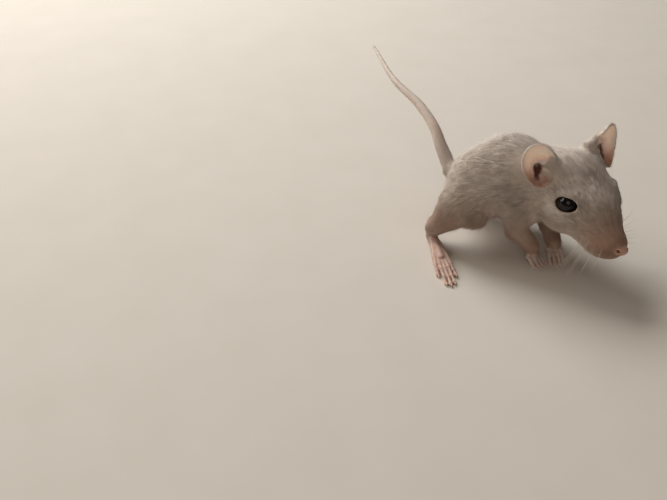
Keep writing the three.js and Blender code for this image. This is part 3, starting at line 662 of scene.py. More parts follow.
# %% The field of the whole skin
def skin_field(points):
    total = furred_field(points)
    for piece in [*EARS.values(), TAIL]:
        near = nearby(points, piece)
        if near.any():
            total[near] = melt(total[near], piece["field"](points[near]), piece["width"])
    for paw in PAWS.values():
        near = nearby(points, paw, 3)
        if near.any():
            total[near] = melt(total[near], paw_field(points[near], paw), 0.8)
    near = length_of(points - in_head(*NOSE["at"])) < 5
    if near.any():
        total[near] = melt(total[near], nose_field(points[near]), 0.5)
    for tool, width, centre, reach in FACE_TOOLS:
        near = length_of(points - centre) < reach + 1.5
        if near.any():
            total[near] = carve(total[near], tool(points[near]), width)
    return np.maximum(total, 0.03 - points[:, 2])


# %% [markdown]
# ## From field to mesh
# Blender's metaballs and its voxel remesher also turn volumes into skins, but neither keeps an ear
# half a millimetre thin. So the field is read on a fine grid, only in the blocks that the surface
# crosses; each crossed cell gets one vertex, and every crossed grid edge one four-sided face. The
# vertices are then pulled onto the field, which makes the surface smooth and exact.

# %% Reading the field on a grid
CELL = 0.26
BLOCK = 8
BLOCKS_AT_ONCE = 600


def in_parts(field, points, size=200000):
    return np.concatenate([field(points[n:n + size]) for n in range(0, len(points), size)])


def read_grid(field, low, high):
    side = CELL * BLOCK
    counts = np.ceil((high - low) / side).astype(int)
    blocks = np.indices(counts).reshape(3, -1).T
    rough = in_parts(field, low + (blocks + 0.5) * side, 50000)
    grid = np.empty((counts[0], BLOCK, counts[1], BLOCK, counts[2], BLOCK), np.float32)
    grid[:] = rough.reshape(counts)[:, None, :, None, :, None]
    crossed = blocks[np.abs(rough) < side * 1.25]
    inside = np.indices((BLOCK,) * 3).reshape(3, -1).T
    for start in range(0, len(crossed), BLOCKS_AT_ONCE):
        part = crossed[start:start + BLOCKS_AT_ONCE]
        points = low + CELL * (part[:, None, :] * BLOCK + inside).reshape(-1, 3)
        values = field(points).reshape(len(part), BLOCK, BLOCK, BLOCK)
        grid[part[:, 0], :, part[:, 1], :, part[:, 2], :] = values
    return grid.reshape(counts * BLOCK)


def net_over(grid, low):
    """One vertex in each crossed cell, and one face round each crossed edge."""
    inside = grid < 0
    size = np.array(grid.shape)
    corners = [(i, j, k) for i in (0, 1) for j in (0, 1) for k in (0, 1)]
    count = np.zeros(size - 1, np.int8)
    for i, j, k in corners:
        count += inside[i:size[0] - 1 + i, j:size[1] - 1 + j, k:size[2] - 1 + k]
    crossed = (count > 0) & (count < 8)
    cells = np.argwhere(crossed)
    number = np.full(size - 1, -1, np.int32)
    number[crossed] = np.arange(len(cells))
    total, hits = np.zeros((len(cells), 3)), np.zeros(len(cells))
    for a in corners:
        for b in corners:
            if b <= a or sum(abs(p - q) for p, q in zip(a, b)) != 1:
                continue
            value_a, value_b = grid[tuple((cells + a).T)], grid[tuple((cells + b).T)]
            hit = (value_a < 0) != (value_b < 0)
            share = np.where(hit, value_a / (value_a - value_b + 1e-30), 0)
            total += np.where(hit[:, None], a + np.subtract(b, a) * share[:, None], 0)
            hits += hit
    points = low + CELL * (cells + total / hits[:, None])
    faces = []
    for axis in range(3):
        second, third = (axis + 1) % 3, (axis + 2) % 3
        here, there = [slice(1, n - 1) for n in size], [slice(1, n - 1) for n in size]
        here[axis], there[axis] = slice(0, size[axis] - 1), slice(1, size[axis])
        starts_in = inside[tuple(here)]
        edges = np.argwhere(starts_in != inside[tuple(there)])
        flip = ~starts_in[tuple(edges.T)]
        edges[:, second] += 1
        edges[:, third] += 1
        ring = []
        for back_second, back_third in ((1, 1), (0, 1), (0, 0), (1, 0)):
            cell = edges.copy()
            cell[:, second] -= back_second
            cell[:, third] -= back_third
            ring.append(number[tuple(cell.T)])
        ring = np.stack(ring, axis=1)
        ring[flip] = ring[flip][:, ::-1]
        faces.append(ring)
    return points, np.concatenate(faces)


def settle(field, points, rounds=2):
    """Pulls the vertices onto the field, and gives the outward direction at each."""
    for _ in range(rounds):
        slope = in_parts(lambda q: slopes(field, q), points)
        size = np.maximum(dot_rows(slope, slope), 0.1)
        step = -(in_parts(field, points) / size)[:, None] * slope
        far = np.maximum(length_of(step) / (CELL * 0.4), 1)
        points = points + step / far[:, None]
    return points, to_units(slope)


# %% [markdown]
# A cell of a quarter of a millimetre is fine enough for a nostril and coarse enough to be quick.

# %% The skin's vertices and faces
LOW = at(-58, -30, -1)
HIGH = at(36, 27, 38)
skin_points, skin_faces = net_over(read_grid(skin_field, LOW, HIGH), LOW)
skin_points, skin_out = settle(skin_field, skin_points)
print("skin vertices:", len(skin_points), "faces:", len(skin_faces))

# %% [markdown]
# The net leaves little islands where a carving tool cuts right through. Only the one large surface
# is the skin, so the faces are sorted by which vertices they join, and the largest set is kept.


# %% Keep the one closed skin
def largest_piece(points, out, faces):
    label = np.arange(len(points))
    while True:
        lowest = label[faces].min(axis=1)
        fresh = label.copy()
        np.minimum.at(fresh, faces.ravel(), np.repeat(lowest, faces.shape[1]))
        fresh = fresh[fresh]
        if (fresh == label).all():
            break
        label = fresh
    kept = label == np.bincount(label).argmax()
    renumber = np.cumsum(kept) - 1
    return points[kept], out[kept], renumber[faces[kept[faces[:, 0]]]]


skin_points, skin_out, skin_faces = largest_piece(skin_points, skin_out, skin_faces)
print("kept:", len(skin_points), "vertices")

# %% [markdown]
# ## One way to make every mesh
# A mesh can be handed to Blender face by face, but whole arrays at once are a hundred times faster.
# Numbers that belong to each vertex, such as how pale the coat is there, go in as attributes, which
# the materials can then read.


# %% A mesh from arrays
def make_piece(name, points, faces, material, values=None, uv=None, normals=None):
    mesh = bpy.data.meshes.new(name)
    corners = faces.shape[1]
    mesh.vertices.add(len(points))
    mesh.vertices.foreach_set("co", ((points + SHIFT) * MM).astype(np.float32).ravel())
    mesh.loops.add(faces.size)
    mesh.loops.foreach_set("vertex_index", faces.astype(np.int32).ravel())
    mesh.polygons.add(len(faces))
    mesh.polygons.foreach_set("loop_start", np.arange(0, faces.size, corners, dtype=np.int32))
    mesh.polygons.foreach_set("use_smooth", np.ones(len(faces), bool))
    for key, numbers in (values or {}).items():
        layer = mesh.attributes.new(key, "FLOAT", "POINT")
        layer.data.foreach_set("value", np.asarray(numbers, np.float32))
    if uv is not None:
        layer = mesh.uv_layers.new(name="OFBake")
        layer.data.foreach_set("uv", uv[faces.ravel()].astype(np.float32).ravel())
    mesh.update(calc_edges=True)
    mesh.validate()
    if normals is not None:
        mesh.normals_split_custom_set_from_vertices(normals)
    mesh.materials.append(material)
    piece = bpy.data.objects.new(name, mesh)
    bpy.context.scene.collection.objects.link(piece)
    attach(piece, "root")
    return piece


# %% [markdown]
# ## Materials
# Every colour is an sRGB value, turned to linear light by one function. One small
# function adds a node with its settings and its links.


# %% Helpers for materials
def linear(code):
    parts = [int(code[n:n + 2], 16) / 255 for n in (1, 3, 5)]
    return [c / 12.92 if c <= 0.04045 else ((c + 0.055) / 1.055) ** 2.4 for c in parts] + [1.0]


def add(tree, kind, settings=None, links=None):
    """Adds a node. Settings whose key is a string of the node set that, other keys set its inputs."""
    node = tree.nodes.new(kind)
    for key, value in (settings or {}).items():
        if isinstance(key, str) and hasattr(node, key):
            setattr(node, key, value)
        else:
            node.inputs[key].default_value = value
    for key, source in (links or {}).items():
        tree.links.new(source, node.inputs[key])
    return node


def new_material(name):
    material = bpy.data.materials.new(name)
    material.use_nodes = True
    tree = material.node_tree
    tree.nodes.clear()
    return material, tree


def finish_material(tree, shader):
    add(tree, "ShaderNodeOutputMaterial", links={"Surface": shader.outputs[0]})


def blend_colours(tree, share, first, second):
    """Mixes two colours; each is an sRGB code or the output of another node."""
    node = add(tree, "ShaderNodeMix", {"data_type": "RGBA"}, {0: share})
    for key, colour in ((6, first), (7, second)):
        if isinstance(colour, str):
            node.inputs[key].default_value = linear(colour)
        else:
            tree.links.new(colour, node.inputs[key])
    return node.outputs[2]


def attribute(tree, name):
    return add(tree, "ShaderNodeAttribute", {"attribute_name": name}).outputs["Fac"]


# %% [markdown]
# The coat of a young gerbil of this colour is fine, dry hair: slate grey at the root, a warm beige
# band, and a greyer tip. Dry hair scatters light softly, so roughness is high and the gloss low.
# Each tuft has a shade of its own, belly and chin are paler, and the muzzle is warmer. The root is
# darker as far as the bend of the tuft, which gives the coat its depth.

# %% The coat's colours, the same for tufts and for the skin under them
BEND = 0.45
# The warm colour is the muzzle's own tone, and low on the body it is painted shade lit by warm light from
# below.
COAT = {"dark": "#95887d", "middle": "#c5b8ad", "light": "#eee4da", "pale": "#e9ddd2", "warm": "#b28c77",
        "root": "#84756a"}


def coat_colour(tree):
    shade = attribute(tree, "shade")
    ramp_node = add(tree, "ShaderNodeValToRGB", links={"Fac": shade})
    ramp_node.color_ramp.elements[0].color = linear(COAT["dark"])
    ramp_node.color_ramp.elements[0].position = 0.05
    ramp_node.color_ramp.elements[1].color = linear(COAT["light"])
    ramp_node.color_ramp.elements[1].position = 0.95
    ramp_node.color_ramp.elements.new(0.5).color = linear(COAT["middle"])
    paler = blend_colours(tree, attribute(tree, "pale"), ramp_node.outputs[0], COAT["pale"])
    return blend_colours(tree, attribute(tree, "warm"), paler, COAT["warm"])


def fur_material():
    material, tree = new_material("dry_young_fur")
    near_root = add(tree, "ShaderNodeMapRange",
                    {"From Min": 0.0, "From Max": BEND, "To Min": 0.5, "To Max": 0.0},
                    {"Value": attribute(tree, "tip")}).outputs[0]
    not_pale = add(tree, "ShaderNodeMath", {"operation": "SUBTRACT", 0: 1.0}, {1: attribute(tree, "pale")})
    share = add(tree, "ShaderNodeMath", {"operation": "MULTIPLY"}, {0: near_root, 1: not_pale.outputs[0]})
    colour = blend_colours(tree, share.outputs[0], coat_colour(tree), COAT["root"])
    shader = add(tree, "ShaderNodeBsdfPrincipled",
                 {"Roughness": 0.62, "IOR": 1.5, "Specular IOR Level": 0.25, "Sheen Weight": 0.15,
                  "Sheen Roughness": 0.5}, {"Base Color": colour})
    finish_material(tree, shader)
    return material


FUR = fur_material()

# %% [markdown]
# Bare skin shows on the ears, the paws, the tail and the lids. It is thin and pink, with blushes about
# a millimetre across. Light goes a millimetre or so into it, so an ear with the window behind it
# glows; the palest pink on the upper ears adds painted light to that glow. Fine folds about a fifth of
# a millimetre apart keep it from looking like wax; on the tail they are rings about 0.45 mm apart.
# Skin's IOR is about 1.4. Under the fur, and on the backs of the ears, the same skin takes the coat's
# colours in a darker shade than most tufts, as painted shade, so that no bare pink shows between the
# tufts.

# %% Bare skin, and the skin under the fur
# The palest pink is partly painted light: light through the upper ears, and light lifting the shade on the
# hands and feet.
SKIN = {"pink": "#b48d7c", "pale": "#c6a493", "pale_skin_and_painted_light": "#f9e8e1", "deep": "#6a3b2e", "tail": "#eadcd2"}
BLUSHES_PER_MM = 0.9
FOLDS_PER_MM = 5.5
RING_MM = 0.45


def skin_material():
    material, tree = new_material("thin_pink_skin")
    place = add(tree, "ShaderNodeTexCoord").outputs["Object"]
    mottle = add(tree, "ShaderNodeTexNoise", {"Scale": BLUSHES_PER_MM / MM, "Detail": 3.0},
                 {"Vector": place})
    flush = add(tree, "ShaderNodeMapRange", {"From Min": 0.35, "From Max": 0.65},
                {"Value": mottle.outputs[0]})
    colour = blend_colours(tree, flush.outputs[0], SKIN["pink"], SKIN["pale"])
    # The darkest of these colours is painted shade in the ear's canal and along the mouth, and it also
    # darkens the lid rims.
    for mark in ("pale_skin_and_painted_light", "tail", "deep"):
        colour = blend_colours(tree, attribute(tree, mark), colour, SKIN[mark])
    colour = blend_colours(tree, attribute(tree, "coated"), colour, coat_colour(tree))
    folds = add(tree, "ShaderNodeTexVoronoi",
                {"Scale": FOLDS_PER_MM / MM, "feature": "DISTANCE_TO_EDGE"}, {"Vector": place})
    turns = add(tree, "ShaderNodeMath", {"operation": "MULTIPLY", 1: 2 * math.pi / RING_MM},
                {0: attribute(tree, "tail_mm")})
    rings = add(tree, "ShaderNodeMath", {"operation": "SINE"}, {0: turns.outputs[0]})
    relief = add(tree, "ShaderNodeMath", {"operation": "MULTIPLY_ADD", 1: 0.35},
                 {0: rings.outputs[0], 2: folds.outputs[0]})
    bump = add(tree, "ShaderNodeBump", {"Strength": 0.35, "Distance": 0.00006}, {"Height": relief.outputs[0]})
    shader = add(tree, "ShaderNodeBsdfPrincipled",
                 {"Roughness": 0.5, "IOR": 1.4, "Subsurface Weight": 0.85, "Subsurface Scale": 0.0014,
                  "Subsurface Radius": (1.0, 0.62, 0.48)},
                 {"Base Color": colour, "Normal": bump.outputs[0]})
    finish_material(tree, shader)
    return material


BARE_SKIN = skin_material()

# %% [markdown]
# The eye is a dark brown iris that fills the whole opening under a wet, clear cornea of IOR 1.376, so
# it reads as black glass, with a painted sheen that makes it a little lighter at its edge. Claws and
# whiskers are keratin, IOR 1.54: grown, not polished, so they are pale and slightly clear, with a soft gloss.


# %% Eye, claw and whisker
def eye_material():
    material, tree = new_material("wet_dark_eye")
    # The colour turns lighter where the ball turns away from view: a painted sheen at its edge.
    rim = add(tree, "ShaderNodeLayerWeight", {"Blend": 0.25})
    colour = blend_colours(tree, rim.outputs["Facing"], "#0b090c", "#231a1a")
    shader = add(tree, "ShaderNodeBsdfPrincipled", {"Roughness": 0.06, "IOR": 1.376},
                 {"Base Color": colour})
    finish_material(tree, shader)
    return material


def keratin_material(name, root, tip):
    material, tree = new_material(name)
    colour = blend_colours(tree, attribute(tree, "tip"), root, tip)
    shader = add(tree, "ShaderNodeBsdfPrincipled",
                 {"Roughness": 0.35, "IOR": 1.54, "Subsurface Weight": 0.2, "Subsurface Scale": 0.0003},
                 {"Base Color": colour})
    finish_material(tree, shader)
    return material


EYE_GLOSS = eye_material()
CLAW = keratin_material("claw_keratin", "#d9b3a4", "#ecdccb")
WHISKER = keratin_material("whisker_keratin", "#cbbfb2", "#f4eee6")

# %% [markdown]
# ## Where the coat is paler, warmer or bare, and where light and shade are painted
# The markings, and the painted light and shade on the ears, in hollows and low on the body, are
# functions of the place on the body, used both for the skin and for every tuft, so the two always
# agree. Nothing here is a picture: each is a distance or a direction.


# %% Markings, and painted light and shade
def value_noise(points, size, seed):
    """Smooth random numbers from 0 to 1, about as far apart as the size in millimetres."""
    local = np.random.default_rng(seed)
    total = np.zeros(len(points))
    for _ in range(5):
        way = unit(local.normal(size=3))
        across = unit(np.cross(way, local.normal(size=3)))
        bend = np.sin(points @ across * 2.1 / size + local.uniform(0, 6.28))
        total += np.sin(points @ way * 3.1 / size + 1.3 * bend + local.uniform(0, 6.28))
    return 0.5 + total / 10


EAR_ZONE = 9


def zone_distances(points):
    body = in_parts(furred_field, points)
    ears = np.minimum(*[in_parts(EARS[side]["field"], points) for side in SIDES])
    tail, along, way = tail_place(points)
    paws = np.full(len(points), FAR)
    for paw in PAWS.values():
        near = nearby(points, paw, 3)
        paws[near] = np.minimum(paws[near], paw_field(points[near], paw))
    return {"body": body, "ears": ears, "tail": tail, "paws": paws, "nose": nose_field(points),
            "along": along, "way": way}


def markings_and_painted_light(points, out):
    zones = zone_distances(points)
    bare = np.minimum.reduce([zones["ears"], zones["tail"], zones["paws"], zones["nose"]])
    furred = ramp(bare - zones["body"], -0.25, 0.35)
    # Fur stops at the lids and at the nose.
    lids = np.zeros(len(points))
    for side, eyeball in EYEBALLS.items():
        near = length_of(points - eyeball) < 5
        rim = eye_opening(side)(points[near])
        furred[near] *= ramp(rim, 0.0, 0.14)
        lids[near] = 0.7 * (1 - ramp(rim, 0.0, 0.2))
    furred *= ramp(length_of(points - in_head(*(NOSE["at"] + at(0.5, 0, -0.3)))), 1.1, 1.9)
    # Belly, throat and the foot of each ear are paler.
    under = ramp(-out[:, 2], 0.05, 0.75)
    along_head = (points - HEAD_BACK) @ HEAD_AXES
    cheek = ramp(-along_head[:, 2], 2.5, 6.5) * ramp(along_head[:, 0], 0, 4)
    pale = np.clip(0.8 * under + 0.4 * cheek, 0, 0.9)
    for ear in EARS.values():
        pale = np.maximum(pale, 0.7 * (1 - ramp(length_of(points - ear["centre"]), 5, 8)))
    # Muzzle and wrists are warmer in tone; everything low down is painted warmer and darker, as shade lit by
    # warm light from below.
    warm = 0.8 * (1 - ramp(length_of(points - in_head(27.0, 0, -2.5)), 2.5, 12))
    # The palest skin on the hands and feet is painted light, lifting their shade.
    pale_skin_and_painted_light = np.zeros(len(points))
    for name, paw in PAWS.items():
        near_paw = 1 - ramp(length_of(points - paw["start"]), 1.5, 7.5)
        fore = name.startswith("hand")
        warm = np.maximum(warm, (0.8 if fore else 0.4) * near_paw)
        on_paw = length_of(points - paw["centre"]) < paw["reach"]
        pale_skin_and_painted_light[on_paw] = np.maximum(pale_skin_and_painted_light[on_paw], 0.6 if fore else 0.15)
    # Painted shade: low on the body the coat turns warmer and darker.
    warm = np.maximum(warm, 0.55 * (1 - ramp(points[:, 2], 8, 20)))
    # Ears are paler above, partly as painted light passing through, are furred behind, and are painted dark
    # in the canal as shade in the hollow.
    canal = np.full(len(points), FAR)
    ear_back = np.zeros(len(points))
    for side, ear in EARS.items():
        near = length_of(points - ear["centre"]) < EAR_ZONE
        q = (points[near] - ear["centre"]) @ ear["axes"]
        behind = bowl_height(q, *ear_reach(q), SIDES[side]) - EAR["wall"] / 2 - q[:, 2]
        ear_back[near] = ramp(behind, -0.1, 0.25)
        depths = [pit(points[near]) + shallower for pit, shallower in zip(ear["pits"], (0, 0.05, 0.35, 0.25))]
        canal[near] = np.minimum.reduce(depths)
        pale_skin_and_painted_light[near] = ramp(q[:, 1] - 0.35 * np.abs(q[:, 0]), -5.0, -0.8)
    # The canal's dark colour is painted shade in the hollow.
    deep = 1 - ramp(canal + 0.25 * value_noise(points, 0.8, 5), -0.05, 0.85)
    furred *= 1 - deep
    # The line of the mouth is darkened as painted shade in its crease, and the lid rims are darker.
    mouth_gap = np.min([length_of(points - p) for p in MOUTH_LINE], axis=0)
    deep = np.maximum.reduce([deep, lids, 0.6 * (1 - ramp(mouth_gap, 0.15, 0.5))])
    tail = 1 - ramp(zones["tail"] - np.minimum(zones["body"], 5), -0.3, 0.5)
    tail_mm = np.where(tail > 0.01, zones["along"] * tail_length, 0)
    # Under the coat the skin takes a darker shade than most tufts: painted shade for the gaps between them.
    values = {"furred": furred, "pale": pale, "warm": warm, "deep": deep, "pale_skin_and_painted_light": pale_skin_and_painted_light, "tail": tail,
              "tail_mm": tail_mm, "coated": np.maximum(furred, 0.75 * ear_back),
              "shade": 0.25 + 0.3 * value_noise(points, 9, 3)}
    return values, zones


skin_values, skin_zones = markings_and_painted_light(skin_points, skin_out)
FLESH = [name for name in frame["nodes"] if not name.startswith("eye_")]
skin = make_piece("skin", skin_points, skin_faces, BARE_SKIN, skin_values)
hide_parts(*FLESH)
print("skin replaces", len(FLESH), "nodes")

# %% [markdown]
# ## Eyes
# A gerbil's eye is a nearly whole ball with a bulging cornea. A ball made from a cube, divided and
# pushed round, has no pinched poles, so the highlight on it stays clean.


# %% Eyeballs
def round_cube(divisions):
    line = np.tan(np.linspace(-math.pi / 4, math.pi / 4, divisions + 1))
    u, v = np.meshgrid(line, line, indexing="ij")
    u, v = u.ravel(), v.ravel()
    points, faces = [], []
    index = np.arange((divisions + 1) ** 2).reshape(divisions + 1, divisions + 1)
    quads = np.stack([index[:-1, :-1], index[1:, :-1], index[1:, 1:], index[:-1, 1:]], -1).reshape(-1, 4)
    for axis in range(3):
        for sign in (1, -1):
            side = np.zeros((len(u), 3))
            side[:, axis] = sign
            side[:, (axis + 1) % 3] = u * sign
            side[:, (axis + 2) % 3] = v
            faces.append(quads + sum(len(p) for p in points))
            points.append(to_units(side))
    points, faces = np.concatenate(points), np.concatenate(faces)
    _, first, number = np.unique(points.round(5), axis=0, return_index=True, return_inverse=True)
    return points[first], number.ravel()[faces]


def eyeball_points(side):
    points, faces = round_cube(24)
    bulge = EYE["bulge"] * ramp(points @ EYE_WAYS[side], 0.75, 1.0)
    return EYEBALLS[side] + points * (EYE["radius"] - EYE["slack"] + bulge)[:, None], faces


for side in SIDES:
    points, faces = eyeball_points(side)
    eye = make_piece(f"eyeball_{side}", points, faces, EYE_GLOSS)
    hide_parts(f"eye_{side}")
print("eyeball faces:", len(faces))

# %% [markdown]
# ## Claws
# Each claw is a short cone bent down over the end of its toe. It could be a cone with a bend
# modifier. A tube swept along four points, thinning to a point, needs no modifier to export, and
# gives the shape of the real sheath of keratin.


# %% Tubes along a line, and the claws
def tube(line, radii, sides, up=at(0, 0, 1)):
    line = np.asarray(line, float)
    ways = np.gradient(line, axis=0)
    rings = []
    for point, way, radius in zip(line, ways, radii):
        way = unit(way)
        across = unit(np.cross(way, up + at(0.001, 0.002, 0)))
        lift = np.cross(across, way)
        angles = np.arange(sides) / sides * 2 * math.pi
        ring = np.outer(np.cos(angles), across) + np.outer(np.sin(angles), lift)
        rings.append(point + ring * radius)
    index = np.arange(len(line) * sides).reshape(len(line), sides)
    after = np.roll(index, -1, axis=1)
    faces = np.stack([index[:-1], index[1:], after[1:], after[:-1]], -1).reshape(-1, 4)
    return np.concatenate(rings), faces


def join(parts):
    points, faces, counts = [], [], 0
    for some, quads in parts:
        points.append(some)
        faces.append(quads + counts)
        counts += len(some)
    return np.concatenate(points), np.concatenate(faces)


def claw(digit, radius):
    tip, forward = digit["tip"], digit["forward"]
    start = tip + forward * radius * 0.1 + at(0, 0, radius * 0.3)
    line = [start - forward * 0.3, start + forward * 0.35 + at(0, 0, 0.1), start + forward * 0.75,
            start + forward * 1.1 + at(0, 0, -0.3)]
    line = [np.maximum(p, at(-99, -99, 0.12)) for p in line]
    return tube(line, CLAW_RADII, CLAW_SIDES)


CLAW_RADII = [0.26, 0.21, 0.13, 0.02]
CLAW_SIDES = 8
claw_parts = [claw(digit, paw["radius"]) for paw in PAWS.values() for digit in paw["digits"]]
claw_points, claw_faces = join(claw_parts)
claw_tip = np.tile(np.repeat([0, 0.3, 0.7, 1.0], CLAW_SIDES), len(claw_parts))
make_piece("claws", claw_points, claw_faces, CLAW, {"tip": claw_tip})
print("claws:", len(claw_parts))

# %% [markdown]
# ## The lie of the coat
# At each root the masses nearby vote for a direction, the nearest most strongly, and the vote is
# laid flat on the skin. Round the eyes the hair parts and points away from the lids.


# %% Direction of the coat at each root
def coat_lie(points, out):
    votes = np.zeros((len(points), 3))
    closest = np.full(len(points), 1e9)
    owner = np.zeros(len(points), int)
    for number, piece in enumerate(BODY):
        near = nearby(points, piece, 9)
        gap = piece["field"](points[near])
        votes[near] += np.exp(-np.maximum(gap, -1.5) / 1.1)[:, None] * piece["lie"]
        better = gap < closest[near]
        rows = np.flatnonzero(near)[better]
        closest[rows] = gap[better]
        owner[rows] = number
    votes = to_units(votes, 1e-9)
    side_on = 1 - np.abs(out[:, 2])
    on_trunk = 1 - ramp(from_head_back(points), -2, 6)
    votes[:, 2] -= 0.3 * side_on * on_trunk
    for eyeball in EYEBALLS.values():
        away = points - eyeball
        gap = length_of(away)
        push = 1.3 * (1 - ramp(gap, EYE["radius"] + 0.2, EYE["radius"] + 1.8))
        votes += push[:, None] * away / gap[:, None]
    return to_units(lay_flat(votes, out)), owner


def hashed(cells, salt):
    """A number from 0 to 1 for each cell, always the same for the same cell and salt."""
    mixed = (cells[:, 0] * 73856093) ^ (cells[:, 1] * 19349663) ^ (cells[:, 2] * 83492791)
    mixed = mixed ^ (salt * 2654435761)
    mixed = (mixed ^ (mixed >> 13)) * 1274126177 & 0x7FFFFFFF
    return ((mixed ^ (mixed >> 16)) & 0xFFFFF) / 0xFFFFF


def locks(points, spacing):
    """The middle of the lock that each hair belongs to, and a random number for that lock."""
    cells = np.floor(points / spacing).astype(np.int64)
    best = np.full(len(points), 1e9)
    middle, chance = np.zeros_like(points), np.zeros(len(points))
    for offset in np.indices((3, 3, 3)).reshape(3, -1).T - 1:
        cell = cells + offset
        jitter = np.stack([hashed(cell, salt) for salt in (1, 2, 3)], axis=1)
        seed = (cell + jitter) * spacing
        gap = length_of(points - seed)
        closer = gap < best
        best[closer] = gap[closer]
        middle[closer] = seed[closer]
        chance[closer] = hashed(cell[closer], 4)
    return middle, chance


# %% [markdown]
# ## Tufts
# Real hairs are a twentieth of a millimetre thick, too thin to show at this size, so each tuft
# stands for two or three hairs side by side: a three-sided blade with its root in the skin, bent over
# once and drawn to a point. Its normals are those of the skin below, rounded to each side, so that
# light falls softly over the whole coat, as it does on fine hair. Neighbouring tufts lean together
# into locks, which gives the coat its streaks.


# %% Making the blades
def blades(root, out, lie, length, width, lift, droop, lean):
    """Five points for each blade: its root, three half way and its tip, and the way each one faces."""
    across = np.cross(out, lie)
    points, normals = np.empty((2, len(root), 5, 3))

    def centre(share):
        rise = length * share * np.sin(lift) - droop * length * share ** 2 - ROOT_SUNK * (share == 0)
        return root + lie * (length * share * np.cos(lift))[:, None] + out * rise[:, None] + lean * share ** 2
    half = (width / 2)[:, None]
    points[:, 0] = centre(0)
    points[:, 1] = centre(BEND) - across * half
    points[:, 2] = centre(BEND) + across * half
    points[:, 3] = centre(BEND) + out * half * 0.9
    points[:, 4] = centre(1)
    normals[:, 0] = normals[:, 3] = normals[:, 4] = out
    normals[:, 1] = out - across * ROUNDNESS
    normals[:, 2] = out + across * ROUNDNESS
    return points, normals


ROOT_SUNK = 0.12
ROUNDNESS = 0.7
BLADE_FACES = np.array([[0, 1, 3], [0, 3, 2], [0, 2, 1], [1, 4, 3], [3, 4, 2], [2, 4, 1]])
BLADE_TIP = np.array([0, BEND, BEND, BEND, 1])
PATCH = 0.003


def unwrap(points, start, end):
    """Places on a sheet wrapped once round the line from start to end."""
    axis = unit(end - start)
    first = unit(np.cross(axis, at(0.1, 0.2, 1)))
    second = np.cross(axis, first)
    q = points - start
    round_share = np.arctan2(q @ second, q @ first) / (2 * math.pi) + 0.5
    along = (q @ axis) / np.linalg.norm(end - start)
    return np.stack([0.01 + 0.97 * round_share, np.clip(0.02 + 0.95 * along, 0.01, 0.98)], axis=1)


def blade_uv(place):
    across = np.array([0, -0.5, 0.5, 0, 0]) * PATCH
    along = (BLADE_TIP - 0.5) * PATCH
    return (place[:, None, :] + np.stack([across, along], axis=1)).reshape(-1, 2)


def coat_piece(name, hairs, chosen, line):
    points = hairs["blades"][chosen].reshape(-1, 3)
    count = int(chosen.sum())
    faces = (np.arange(count)[:, None, None] * 5 + BLADE_FACES).reshape(-1, 3)
    values = {"tip": np.tile(BLADE_TIP, count)}
    for key in ("shade", "pale", "warm"):
        values[key] = np.repeat(hairs[key][chosen], 5)
    uv = blade_uv(unwrap(hairs["root"][chosen], *line))
    make_piece(name, points, faces, FUR, values, uv, hairs["normals"][chosen].reshape(-1, 3))
    return len(faces)


# %% [markdown]
# Geometry nodes can scatter points on a face, and so can four lines of arithmetic, which also carry
# the skin's own direction along. Where the coat is short the tufts are smaller and closer, so that
# the face is as well covered as the back.


# %% Scatter the roots
def scatter(points, out, faces, density):
    corner = points[faces]
    area = 0.5 * length_of(np.cross(corner[:, 2] - corner[:, 0], corner[:, 3] - corner[:, 1]))
    weight = area * density
    count = int(weight.sum())
    picked = rng.choice(len(faces), count, p=weight / weight.sum())
    u, v = rng.random(count)[:, None], rng.random(count)[:, None]
    quad, ways = points[faces[picked]], out[faces[picked]]

    def spread(rows):
        return ((rows[:, 0] * (1 - u) + rows[:, 1] * u) * (1 - v)
                + (rows[:, 3] * (1 - u) + rows[:, 2] * u) * v)
    roots, normals = spread(quad), spread(ways)
    return roots, to_units(normals)


face_middle = skin_points[skin_faces].mean(axis=1)
face_furred = skin_values["furred"][skin_faces].mean(axis=1)
face_depth = coat_depth(face_middle)
TUFT = {"density": 37.0, "length": 2.9, "shortest": 0.25, "width": 0.085, "thinnest": 0.065,
        "lift": 12, "stray": 0.03, "gather": 0.6, "locks": (1.25, 0.75), "streak": 0.55}
short_coat = 1 - ramp(face_depth, 0.25, 0.95)
density = TUFT["density"] * (1 + 1.15 * short_coat) * ramp(face_furred, 0.2, 0.8)
root, out = scatter(skin_points, skin_out, skin_faces, density)
lie, owner = coat_lie(root, out)
depth = coat_depth(root)
print("coat tufts:", len(root), "triangles:", len(root) * len(BLADE_FACES))

# %% [markdown]
# A particle system would comb and clump such hair with a few sliders, but particle hair is lost when
# a model is exported. So each tuft gets a length, width, lift and lean of its own here, drawn from
# one seeded source. A few stray hairs stand out and break the outline. Tufts that would sink into a
# neighbouring part are lifted clear, and those that would cross an ear or an eye are left out.

# %% Size, bend and shade of each tuft
count = len(root)
length = (TUFT["length"] * depth ** 0.9 + TUFT["shortest"]) * rng.uniform(0.7, 1.25, count)
width = (TUFT["thinnest"] + TUFT["width"] * depth) * rng.uniform(0.7, 1.25, count)
lift = np.radians(rng.normal(TUFT["lift"], 3.5, count))
on_crown = ramp(out[:, 2], 0.5, 0.9) * ramp(from_head_back(root), -4, 2)
stray = rng.random(count) < TUFT["stray"] + TUFT["stray"] * on_crown
lift[stray] += np.radians(rng.uniform(8, 22, stray.sum()))
length[stray] *= 1.25
width[stray] *= 0.65
droop = rng.uniform(0.08, 0.16, count)
swing = rng.normal(0, 0.12, count)[:, None]
lie = lie + np.cross(out, lie) * swing
lie = to_units(lie)
middle, chance = np.zeros_like(root), np.zeros(count)
deep_coat = depth > 0.6
for rows, size in zip((deep_coat, ~deep_coat), TUFT["locks"]):
    middle[rows], chance[rows] = locks(root[rows], size)
lean = TUFT["gather"] * lay_flat(lay_flat(middle - root, out), lie)
values, _ = markings_and_painted_light(root, out)
from_middle = root - np.array([piece["centre"] for piece in BODY])[owner]
